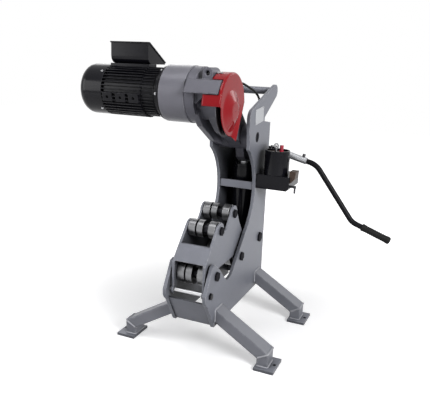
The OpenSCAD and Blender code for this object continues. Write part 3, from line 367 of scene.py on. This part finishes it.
def bumpInto(tree, bsdf, height, strength, distance, normal):
    bump = tree.nodes.new("ShaderNodeBump")
    bump.inputs["Strength"].default_value = strength
    bump.inputs["Distance"].default_value = distance
    tree.links.new(height, bump.inputs["Height"])
    tree.links.new(normal, bump.inputs["Normal"])
    tree.links.new(bump.outputs[0], bsdf.inputs["Normal"])


# paint: mottled colour, grain, dust on top faces, worn edges that show primer or metal, and painted shade
# where given
def paintFinish(name, p):
    material, tree, bsdf = startMaterial(name)
    grain = useGroup(tree, "grain", Scale=p["grain"], Mottle=p["mottle"])
    edge = useGroup(tree, "edge", Radius=p["radius"], Amount=p["wear"])
    dust = useGroup(tree, "dust", Amount=p["dust"])
    colour = mixColour(tree, grain.outputs["Mottle"], p["dark"], p["light"])
    colour = mixColour(tree, dust.outputs["Mask"], colour, p["dustColour"])
    colour = mixColour(tree, edge.outputs["Mask"], colour, p["bare"])
    # painted shade: near-black colour where little of the surroundings is seen
    if "paintedShade" in p:
        paintedShade = useGroup(tree, "paintedShade", Reach=p["reach"], Amount=p["paintedShade"])
        colour = mixColour(tree, paintedShade.outputs["Mask"], colour, p["paintedShadeColour"])
    tree.links.new(colour, bsdf.inputs["Base Color"])
    rough = mathNode(tree, "MULTIPLY", grain.outputs["Mottle"], p["roughSpread"])
    rough = mathNode(tree, "ADD", rough, p["rough"])
    dull = mathNode(tree, "MULTIPLY", dust.outputs["Mask"], dustDull)
    tree.links.new(mathNode(tree, "ADD", rough, dull, True), bsdf.inputs["Roughness"])
    bsdf.inputs["Specular IOR Level"].default_value = p["shine"]
    bsdf.inputs["Metallic"].default_value = p.get("metallic", 0.0)
    bumpInto(tree, bsdf, grain.outputs["Height"], p["bump"], bumpDepth["paint"], edge.outputs["Normal"])
    return material


# bare metal: turning marks in height and roughness, worn edges, and dark bands at some places along X: on the
# rollers painted shade in the grooves between the rings, on the rod its own dark ends
def metalFinish(name, p):
    material, tree, bsdf = startMaterial(name)
    grain = useGroup(tree, "grain", Scale=p["grain"], Mottle=p["mottle"])
    turning = useGroup(tree, "turning", Fine=p["fine"])
    edge = useGroup(tree, "edge", Radius=p["radius"], Amount=p["wear"])
    colour = mixColour(tree, grain.outputs["Mottle"], p["dark"], p["light"])
    colour = mixColour(tree, edge.outputs["Mask"], colour, p["bare"])
    # dark bands: painted shade in the rollers' grooves, and the rod's own dark ends
    if "bands" in p:
        split = tree.nodes.new("ShaderNodeSeparateXYZ")
        tree.links.new(objectCoords(tree), split.inputs[0])
        for middle, half in p["bands"]:
            away = mathNode(tree, "ABSOLUTE", mathNode(tree, "SUBTRACT", split.outputs["X"], middle))
            colour = mixColour(tree, mathNode(tree, "LESS_THAN", away, half), colour, p["bandColour"])
    tree.links.new(colour, bsdf.inputs["Base Color"])
    bsdf.inputs["Metallic"].default_value = 1.0
    rough = mathNode(tree, "MULTIPLY", turning.outputs["Height"], p["roughSpread"])
    tree.links.new(mathNode(tree, "ADD", rough, p["rough"], True), bsdf.inputs["Roughness"])
    bumpInto(tree, bsdf, turning.outputs["Height"], p["bump"], bumpDepth["metal"], edge.outputs["Normal"])
    return material


# rubber and plastic: dull, with a fine moulded grain
def mouldedFinish(name, p):
    material, tree, bsdf = startMaterial(name)
    grain = useGroup(tree, "grain", Scale=p["grain"], Mottle=p["mottle"])
    dust = useGroup(tree, "dust", Amount=p["dust"])
    edge = useGroup(tree, "edge", Radius=p["radius"], Amount=0.0)
    colour = mixColour(tree, grain.outputs["Mottle"], p["dark"], p["light"])
    tree.links.new(mixColour(tree, dust.outputs["Mask"], colour, p["dustColour"]), bsdf.inputs["Base Color"])
    rough = mathNode(tree, "MULTIPLY", grain.outputs["Mottle"], p["roughSpread"])
    tree.links.new(mathNode(tree, "ADD", rough, p["rough"], True), bsdf.inputs["Roughness"])
    bsdf.inputs["Specular IOR Level"].default_value = p["shine"]
    bumpInto(tree, bsdf, grain.outputs["Height"], p["bump"], bumpDepth["moulded"], edge.outputs["Normal"])
    return material


paints = {
    # greyPaint carries painted shade: near-black colour where other surfaces stand close
    "greyPaint": {"dark": (0.155, 0.161, 0.187, 1), "light": (0.214, 0.222, 0.256, 1),
                  "bare": (0.6, 0.6, 0.62, 1), "dustColour": (0.3, 0.3, 0.32, 1), "grain": 900,
                  "mottle": 26, "radius": 0.0028, "wear": 0.6, "dust": 0.06, "rough": 0.3,
                  "roughSpread": 0.2, "bump": 0.2, "shine": 0.2, "metallic": 0.1, "paintedShade": 0.95,
                  "reach": 0.16, "paintedShadeColour": (0.025, 0.026, 0.03, 1)},
    # weldPaint: lighter and more metallic than the legs' paint; the lighter colour is partly the beads' own
    # and partly a painted highlight along them
    "weldPaint": {"dark": (0.23, 0.235, 0.258, 1), "light": (0.37, 0.375, 0.4, 1),
                  "bare": (0.6, 0.6, 0.62, 1), "dustColour": (0.3, 0.3, 0.32, 1), "grain": 500,
                  "mottle": 60, "radius": 0.001, "wear": 0.4, "dust": 0.06, "rough": 0.25,
                  "roughSpread": 0.2, "bump": 0.3, "shine": 0.4, "metallic": 0.35},
    "legPaint": {"dark": (0.14, 0.145, 0.165, 1), "light": (0.21, 0.215, 0.243, 1),
                 "bare": (0.46, 0.47, 0.5, 1), "dustColour": (0.3, 0.3, 0.32, 1), "grain": 380, "mottle": 9,
                 "radius": 0.008, "wear": 0.35, "dust": 0.06, "rough": 0.3, "roughSpread": 0.2,
                 "bump": 0.12, "shine": 0.25, "metallic": 0.1},
    # the casting's paint: the drum's grey made darker for the casting and the cam, as painted shade
    "castPaintShaded": {"dark": (0.092, 0.092, 0.111, 1), "light": (0.128, 0.127, 0.152, 1),
                  "bare": (0.4, 0.4, 0.43, 1), "dustColour": (0.24, 0.24, 0.27, 1), "grain": 330,
                  "mottle": 24, "radius": 0.006, "wear": 0.4, "dust": 0.06, "rough": 0.3,
                  "roughSpread": 0.2, "bump": 0.3, "shine": 0.2, "metallic": 0.1},
    "drumPaint": {"dark": (0.12, 0.119, 0.141, 1), "light": (0.164, 0.163, 0.19, 1),
                  "bare": (0.5, 0.5, 0.53, 1), "dustColour": (0.3, 0.3, 0.33, 1), "grain": 420,
                  "mottle": 20, "radius": 0.004, "wear": 0.4, "dust": 0.06, "rough": 0.22,
                  "roughSpread": 0.2, "bump": 0.2, "shine": 0.3, "metallic": 0.1},
    "pinPaint": {"dark": (0.006, 0.006, 0.008, 1), "light": (0.014, 0.014, 0.017, 1),
                 "bare": (0.1, 0.1, 0.11, 1), "dustColour": (0.03, 0.03, 0.03, 1), "grain": 600,
                 "mottle": 40, "radius": 0.0012, "wear": 0.6, "dust": 0.05, "rough": 0.6,
                 "roughSpread": 0.2, "bump": 0.2, "shine": 0.05},
    "blackPaint": {"dark": (0.004, 0.004, 0.006, 1), "light": (0.007, 0.007, 0.01, 1),
                   "bare": (0.06, 0.06, 0.065, 1), "dustColour": (0.02, 0.02, 0.023, 1), "grain": 700,
                   "mottle": 22, "radius": 0.0022, "wear": 0.5, "dust": 0.04, "rough": 0.13,
                   "roughSpread": 0.1, "bump": 0.05, "shine": 0.12},
    "leverPaint": {"dark": (0.004, 0.004, 0.005, 1), "light": (0.008, 0.008, 0.01, 1),
                   "bare": (0.05, 0.05, 0.055, 1), "dustColour": (0.02, 0.02, 0.022, 1), "grain": 900,
                   "mottle": 30, "radius": 0.0001, "wear": 0.0, "dust": 0.06, "rough": 0.3,
                   "roughSpread": 0.15, "bump": 0.04, "shine": 0.08},
    "redPaint": {"dark": (0.24, 0.004, 0.008, 1), "light": (0.3, 0.007, 0.012, 1),
                 "bare": (0.52, 0.1, 0.11, 1), "dustColour": (0.4, 0.08, 0.09, 1), "grain": 600,
                 "mottle": 12, "radius": 0.002, "wear": 0.35, "dust": 0.06, "rough": 0.1,
                 "roughSpread": 0.08, "bump": 0.06, "shine": 0.15},
    "platePaint": {"dark": (0.4, 0.41, 0.43, 1), "light": (0.52, 0.53, 0.55, 1),
                   "bare": (0.7, 0.7, 0.72, 1), "dustColour": (0.45, 0.45, 0.45, 1), "grain": 1200,
                   "mottle": 60, "radius": 0.0006, "wear": 0.3, "dust": 0.05, "rough": 0.34,
                   "roughSpread": 0.2, "bump": 0.1, "shine": 0.5, "metallic": 0.2},
    "socketPlate": {"dark": (0.38, 0.389, 0.407, 1), "light": (0.47, 0.479, 0.497, 1),
                    "bare": (0.6, 0.6, 0.61, 1), "dustColour": (0.4, 0.4, 0.41, 1), "grain": 900,
                    "mottle": 30, "radius": 0.0001, "wear": 0.0, "dust": 0.05, "rough": 0.26,
                    "roughSpread": 0.1, "bump": 0.02, "shine": 0.6, "metallic": 0.45},
    "tanPaint": {"dark": (0.03, 0.019, 0.014, 1), "light": (0.075, 0.05, 0.038, 1),
                 "bare": (0.24, 0.21, 0.19, 1), "dustColour": (0.12, 0.1, 0.088, 1), "grain": 500,
                 "mottle": 30, "radius": 0.0015, "wear": 0.5, "dust": 0.2, "rough": 0.4, "roughSpread": 0.2,
                 "bump": 0.2, "shine": 0.2},
}
metals = {
    "turnedSteel": {"dark": (0.25, 0.253, 0.262, 1), "light": (0.38, 0.383, 0.393, 1),
                    "bare": (0.6, 0.6, 0.61, 1), "grain": 500, "mottle": 25, "fine": 1400, "radius": 0.0012,
                    "wear": 0.6, "rough": 0.26, "roughSpread": 0.2, "bump": 0.07},
    # rollerSteel: its dark bands are painted shade in the grooves between the rings
    "rollerSteel": {"dark": (0.13, 0.131, 0.137, 1), "light": (0.23, 0.232, 0.239, 1),
                    "bare": (0.62, 0.62, 0.63, 1), "grain": 500, "mottle": 25, "fine": 1400,
                    "radius": 0.0012, "wear": 0.6, "rough": 0.26, "roughSpread": 0.2, "bump": 0.06,
                    "bands": ((-0.0175, 0.0027), (0.0115, 0.0087)), "bandColour": (0.02, 0.02, 0.023, 1)},
    "rodSteel": {"dark": (0.44, 0.444, 0.456, 1), "light": (0.56, 0.564, 0.576, 1),
                 "bare": (0.7, 0.7, 0.71, 1), "grain": 500, "mottle": 25, "fine": 1400, "radius": 0.0012,
                 "wear": 0.6, "rough": 0.22, "roughSpread": 0.2, "bump": 0.06,
                 "bands": ((-0.069, 0.0045), (0.069, 0.0045)), "bandColour": (0.02, 0.02, 0.023, 1)},
    "darkSteel": {"dark": (0.045, 0.045, 0.05, 1), "light": (0.085, 0.085, 0.09, 1),
                  "bare": (0.35, 0.35, 0.36, 1), "grain": 500, "mottle": 30, "fine": 1100, "radius": 0.001,
                  "wear": 0.6, "rough": 0.3, "roughSpread": 0.2, "bump": 0.25},
    "copperWire": {"dark": (0.4, 0.17, 0.08, 1), "light": (0.55, 0.26, 0.14, 1),
                   "bare": (0.65, 0.35, 0.2, 1), "grain": 800, "mottle": 40, "fine": 900, "radius": 0.001,
                   "wear": 0.2, "rough": 0.3, "roughSpread": 0.2, "bump": 0.5},
}
moulded = {
    "blackPlastic": {"dark": (0.008, 0.008, 0.009, 1), "light": (0.014, 0.014, 0.015, 1),
                     "dustColour": (0.04, 0.04, 0.04, 1), "grain": 900, "mottle": 25, "radius": 0.001,
                     "dust": 0.1, "rough": 0.42, "roughSpread": 0.15, "bump": 0.2, "shine": 0.12},
    "leadRubber": {"dark": (0.006, 0.006, 0.006, 1), "light": (0.011, 0.011, 0.011, 1),
                   "dustColour": (0.03, 0.03, 0.03, 1), "grain": 1500, "mottle": 40, "radius": 0.0004,
                   "dust": 0.1, "rough": 0.5, "roughSpread": 0.2, "bump": 0.15, "shine": 0.12},
    "gripRubber": {"dark": (0.007, 0.007, 0.007, 1), "light": (0.012, 0.012, 0.012, 1),
                   "dustColour": (0.04, 0.04, 0.04, 1), "grain": 1300, "mottle": 30, "radius": 0.0004,
                   "dust": 0.1, "rough": 0.48, "roughSpread": 0.2, "bump": 0.3, "shine": 0.12},
    "redPlastic": {"dark": (0.3, 0.01, 0.03, 1), "light": (0.4, 0.02, 0.045, 1),
                   "dustColour": (0.4, 0.2, 0.2, 1), "grain": 900, "mottle": 40, "radius": 0.001,
                   "dust": 0.1, "rough": 0.28, "roughSpread": 0.1, "bump": 0.08, "shine": 0.5},
}
finishes = {name: paintFinish(name, p) for name, p in paints.items()}
finishes.update({name: metalFinish(name, p) for name, p in metals.items()})
finishes.update({name: mouldedFinish(name, p) for name, p in moulded.items()})

# finish of each CAD node; the record's slot decides where a node isn't named
slotFinish = {"grey": "greyPaint", "black_paint": "blackPaint", "steel": "turnedSteel",
              "chrome": "socketPlate", "dark_steel": "darkSteel", "red_paint": "redPaint",
              "label": "platePaint", "tan_paint": "tanPaint", "copper": "copperWire",
              "red_plastic": "redPlastic", "black_plastic": "blackPlastic", "grip": "gripRubber"}
nodeFinish = {"head_casting": "castPaintShaded", "lift_cam": "castPaintShaded", "reducer_drum": "drumPaint",
              "hinge_rod": "rodSteel", "legs": "legPaint", "lever_bar": "leverPaint",
              "head_screws": "turnedSteel", "reservoir_cap": "tanPaint",
              **dict.fromkeys(("pivot_pin", "lift_pin", "large_axles", "small_axles"), "pinPaint"),
              **dict.fromkeys(("roller_large_front", "roller_large_back",
                               "roller_small_front", "roller_small_back"), "rollerSteel")}
for part in frame["record"]["subparts"]:
    chosen = finishes[nodeFinish.get(part["node"], slotFinish[part["material_slot"]])]
    solid = nodes[part["node"]]
    solid.data.materials.clear()
    solid.data.materials.append(chosen)
print("finishes on", len(nodes), "nodes")
for piece in [lead] + reliefs:
    dress(piece, "leadRubber")


# grip: a ribbed sleeve turned about the lever's end, with a collar and a rounded end
gripSet = {"sides": 48, "rings": 240, "radius": 0.0112, "rib": 0.0007, "pitch": 0.0062, "ribFlat": 1.6,
           "ribsFrom": 0.012, "ribsTo": 0.016, "collar": 0.0119, "collarLong": 0.007, "step": 0.0009,
           "stepLong": 0.0008, "end": 0.0125, "roundFrom": 0.35, "tip": 0.02}


def addGrip(p):
    v = np.zeros(len(nodes["lever_grip"].data.vertices) * 3)
    nodes["lever_grip"].data.vertices.foreach_get("co", v)
    v = v.reshape(-1, 3)
    middle = (v.max(0) + v.min(0)) / 2
    axis = np.linalg.svd(v - v.mean(0), full_matrices=False)[2][0]
    axis *= np.sign(axis[0])
    along = (v - middle) @ axis
    low, length = along.min(), along.max() - along.min()
    s = np.linspace(0, length, p["rings"])
    wave = np.clip(p["ribFlat"] * np.cos(2 * np.pi * s / p["pitch"]), -1, 1)
    ribbed = (s > p["ribsFrom"]) & (s < length - p["ribsTo"])
    radius = np.where(ribbed, p["radius"] + p["rib"] * (wave - 1) / 2, p["radius"])
    radius = np.where(s < p["collarLong"], p["collar"] - p["step"] * (s < p["stepLong"]), radius)
    rest = np.clip((s - (length - p["end"])) / p["end"], 0, 1)
    rounding = np.clip((rest - p["roundFrom"]) / (1 - p["roundFrom"]), 0, 1)
    swell = p["collar"] * np.sqrt(np.clip(1 - rounding**3, p["tip"], 1))
    radius = np.where(rest > 0, swell, radius)
    line = middle + (low + s)[:, None] * axis
    return addPiece("gripSleeve", gridMesh("gripSleeve", tubePart(line, radius, p["sides"])), "pump_lever")


grip = addGrip(gripSet)
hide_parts("lever_grip")
dress(grip, "gripRubber")

# guard: places across the spindle's axis in metres, y and z from the axis; angles in degrees from +Y
guardSet = {"axis": (-0.07611, 0.70503), "radius": 0.0925, "face": 0.045, "roll": 0.0045, "sheet": 0.0022,
            "cutRadius": 0.083, "bulge": (-0.013, -0.012), "bulgeBase": 0.057, "bulgeTop": 0.025,
            "bulgeHigh": 0.0138, "soft": 0.09, "rays": 360, "rings": 64, "hub": 0.004, "crowd": 0.8,
            "farthest": 0.125, "farSteps": 1500}
rimSet = {"start": 4.0, "end": 178.0, "bossCut": (85.0, 126.9, 0.005), "beamCut": (126.9, 159.1, 0.037),
          "cutStep": 0.01, "back": -0.009, "turnSteps": 240, "rollSteps": 9, "wallSteps": 14}
lipSet = {"y": 0.06, "z": -0.084, "tip": (0.011, 0.008, -0.0965), "shoulder": (-0.0006, 0.0915, 0.008),
          "sag": 0.0035, "sunk": 0.0002, "long": 40, "wide": 12}


# face: straight lines from the bulge's middle to the outline, raised as a cone whose two creases are soft
def guardFace(p, lip):
    turn = np.radians(np.linspace(0, 360, p["rays"], endpoint=False))
    far = np.linspace(0, p["farthest"], p["farSteps"])
    a = p["bulge"][0] + far * np.cos(turn)[:, None]
    b = p["bulge"][1] + far * np.sin(turn)[:, None]
    limit = np.where((a < 0) & (b < 0), p["cutRadius"], p["radius"] - p["roll"])
    inside = (np.hypot(a, b) <= limit) & ((b >= 0) | (a / lip["y"] + b / lip["z"] <= 1))
    edge = far[np.logical_and.accumulate(inside, axis=1).sum(1) - 1]
    r = edge[:, None] * np.linspace(p["hub"], 1, p["rings"]) ** p["crowd"]
    u = (p["bulgeBase"] - r) / (p["bulgeBase"] - p["bulgeTop"])
    rise = (np.sqrt(u**2 + p["soft"]**2) - np.sqrt((u - 1)**2 + p["soft"]**2) + 1) / 2
    y = p["axis"][0] + p["bulge"][0] + r * np.cos(turn)[:, None]
    z = p["axis"][1] + p["bulge"][1] + r * np.sin(turn)[:, None]
    return gridPart(np.stack([p["face"] + p["bulgeHigh"] * rise, y, z], -1), closeU=True)


# rim: a quarter roll from the face and then straight back, as far as the beam and the boss leave room
def guardRim(p, rim):
    cuts = np.array([rim["bossCut"], rim["beamCut"]])
    stops = np.concatenate([cuts[:, :2] - rim["cutStep"], cuts[:, :2] + rim["cutStep"]]).ravel()
    turn = np.sort(np.concatenate([np.linspace(rim["start"], rim["end"], rim["turnSteps"]), stops]))
    end = np.full(len(turn), rim["back"])
    for low, high, x in cuts:
        end = np.where((turn > low) & (turn < high), x, end)
    roll = np.linspace(0, np.pi / 2, rim["rollSteps"])
    u = np.linspace(0, 1, rim["wallSteps"])[1:]
    start = p["face"] - p["roll"]
    bent = np.tile(start + p["roll"] * np.cos(roll), (len(turn), 1))
    x = np.hstack([bent, start + u * (end - start)[:, None]])
    r = np.concatenate([p["radius"] - p["roll"] + p["roll"] * np.sin(roll), np.full(len(u), p["radius"])])
    t = np.radians(turn)[:, None]
    return gridPart(np.stack([x, p["axis"][0] + r * np.cos(t), p["axis"][1] + r * np.sin(t)], -1))


# lip: straight lines from the crease on the face to a free edge that stands out more towards its lower tip
def guardLip(p, lip):
    s = np.linspace(0, 1, lip["long"])[:, None, None]
    w = np.linspace(0, 1, lip["wide"])[None, :, None]
    low, top = np.array([0, 0, lip["z"]]), np.array([0, lip["y"], 0])
    tip, shoulder = np.array(lip["tip"]), np.array(lip["shoulder"])
    crease, free = low + s * (top - low), tip + s * (shoulder - tip)
    sag = np.array([lip["sag"], 0, 0]) * (np.sqrt(w) - w) * (1 - s)
    return gridPart(crease + w * (free - crease) - sag + np.array([p["face"] - lip["sunk"], *p["axis"]]))


def addGuard(p, rim, lip):
    mesh = gridMesh("guardShell", guardFace(p, lip), guardRim(p, rim), guardLip(p, lip))
    shell = addPiece("guardShell", mesh, "head")
    wall = shell.modifiers.new("sheet", "SOLIDIFY")
    wall.thickness = p["sheet"]
    wall.offset = -1
    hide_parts("guard")
    return shell


# weld bead: a thin tube along a seam whose radius rises and falls once for each ripple of the weld
weldSet = {"radius": 0.0032, "pitch": 0.0042, "ripple": 0.24, "wander": 0.0002, "wanderRate": 260,
           "fewest": 12, "step": 0.0007, "endShare": 0.15, "sides": 10, "lean": (0.31, 0.47, 0.83)}
# places of the seams in metres: the leg's root on the side plate, its shin on the foot plate and its knee
seamSet = {"plateOut": 0.065, "footY": 0.166, "rootTop": 0.146, "rootLow": 0.1086, "halfTube": 0.025,
           "footTop": 0.008, "shinIn": 0.195, "shinOut": 0.227, "kneeIn": 0.030, "kneeOut": 0.048}


def weldBead(start, end, p, seed):
    start, end = np.array(start, float), np.array(end, float)
    length = np.linalg.norm(end - start)
    s = np.linspace(0, 1, max(p["fewest"], int(length / p["step"])))
    line = start + s[:, None] * (end - start)
    wander = np.sin(s * length * p["wanderRate"] + seed) * p["wander"]
    ripple = np.abs(np.sin(np.pi * s * length / p["pitch"] + seed))
    radius = p["radius"] * (1 - p["ripple"] + p["ripple"] * ripple) + wander
    radius *= np.sqrt(np.clip(np.minimum(s, 1 - s) * length / p["radius"], p["endShare"], 1))
    return tubePart(line, radius, p["sides"], lean=p["lean"])


# the seams of one leg: rings of four round its root, its shin and its knee
def legSeams(side, end, p):
    x, y, half = side * p["plateOut"], end * p["footY"], p["halfTube"]
    root = [(x, y - half, p["rootTop"]), (x, y + half, p["rootTop"]),
            (x, y + half, p["rootLow"]), (x, y - half, p["rootLow"])]
    corners = (("shinIn", -half, "kneeIn"), ("shinOut", -half, "kneeOut"),
               ("shinOut", half, "kneeOut"), ("shinIn", half, "kneeIn"))
    shin = [(side * p[out], y + across, p["footTop"]) for out, across, _ in corners]
    knee = [(side * p[out], y + across, p[high]) for out, across, high in corners]
    return [(ring[k], ring[(k + 1) % 4]) for ring in (root, shin, knee) for k in range(4)]


seams = [seam for side in (-1, 1) for end in (-1, 1) for seam in legSeams(side, end, seamSet)]
seamTubes = [weldBead(a, b, weldSet, k) for k, (a, b) in enumerate(seams)]
beads = addPiece("legWelds", gridMesh("legWelds", *seamTubes), "frame")
dress(beads, "weldPaint")
dress(addGuard(guardSet, rimSet, lipSet), "redPaint")
print("grip, guard and welds made")


# stage: pale floor that carries the shadow and reads white to the camera and to reflections
stageSet = {"half": 6.0, "floor": (0.85, 0.85, 0.86, 1), "bounce": (0.3, 0.3, 0.31, 1), "lift": 0.36,
            "near": 0.2, "far": 1.3, "rough": 0.9, "ambient": 0.08}


# rays that see the background: straight from the camera, or by way of metal or glass
def seenRay(tree):
    path = tree.nodes.new("ShaderNodeLightPath")
    seen = path.outputs["Is Camera Ray"]
    for key in ("Is Glossy Ray", "Is Transmission Ray"):
        seen = mathNode(tree, "MAXIMUM", seen, path.outputs[key])
    return seen


def addStage(s):
    edge = s["half"]
    corners = np.array([[[x, y, 0] for x in (-edge, edge)] for y in (-edge, edge)], float)
    floor = addPiece("floor", gridMesh("floor", gridPart(corners)))
    material, tree, bsdf = startMaterial("floorPaint")
    seen = seenRay(tree)
    tree.links.new(mixColour(tree, seen, s["bounce"], s["floor"]), bsdf.inputs["Base Color"])
    bsdf.inputs["Roughness"].default_value = s["rough"]
    bsdf.inputs["Specular IOR Level"].default_value = 0.0
    bsdf.inputs["Emission Color"].default_value = (1, 1, 1, 1)
    away = tree.nodes.new("ShaderNodeVectorMath")
    away.operation = "LENGTH"
    tree.links.new(objectCoords(tree), away.inputs[0])
    far = mapRange(tree, away.outputs["Value"], s["near"], s["far"], s["lift"], 1.0)
    tree.links.new(mathNode(tree, "MULTIPLY", seen, far), bsdf.inputs["Emission Strength"])
    floor.data.materials.append(material)
    addSurround(s)


# surround: white to the camera and in reflections, a dim even light to the object
def addSurround(s):
    world = bpy.data.worlds.new("studio")
    scene.world = world
    world.use_nodes = True
    tree = world.node_tree
    ground = tree.nodes["Background"]
    ground.inputs["Color"].default_value = (1, 1, 1, 1)
    tree.links.new(mixFloat(tree, seenRay(tree), s["ambient"], 1.0), ground.inputs["Strength"])


# lamps: place, aim, size in metres and power in watts
lamps = {"key": {"place": (2.4, -1.3, 1.6), "aim": (0, 0, 0.45), "size": 1.1, "power": 80},
         "top": {"place": (-0.6, -0.8, 2.9), "aim": (-0.1, 0, 0.5), "size": 1.2, "power": 22},
         "front": {"place": (0.1, -2.9, 1.1), "aim": (0, 0, 0.4), "size": 0.6, "power": 1},
         "side": {"place": (-2.4, -1.9, 1.2), "aim": (0, 0, 0.4), "size": 1.8, "power": 46},
         "rim": {"place": (1.1, 2.4, 1.6), "aim": (0, 0, 0.6), "size": 0.9, "power": 7},
         "rear": {"place": (-1.9, 2.3, 1.9), "aim": (0, 0, 0.4), "size": 1.4, "power": 11}}


def addLamp(name, p):
    data = bpy.data.lights.new(name, "AREA")
    data.size = p["size"]
    data.energy = p["power"]
    lamp = bpy.data.objects.new(name, data)
    back = np.array(p["place"], float) - np.array(p["aim"], float)
    back /= np.linalg.norm(back)
    right = np.cross([0, 0, 1], back)
    right /= np.linalg.norm(right)
    setUp(lamp, [right, np.cross(back, right), back], p["place"])


addStage(stageSet)
for lampName, lampSet in lamps.items():
    addLamp(lampName, lampSet)
print("stage and lamps set")
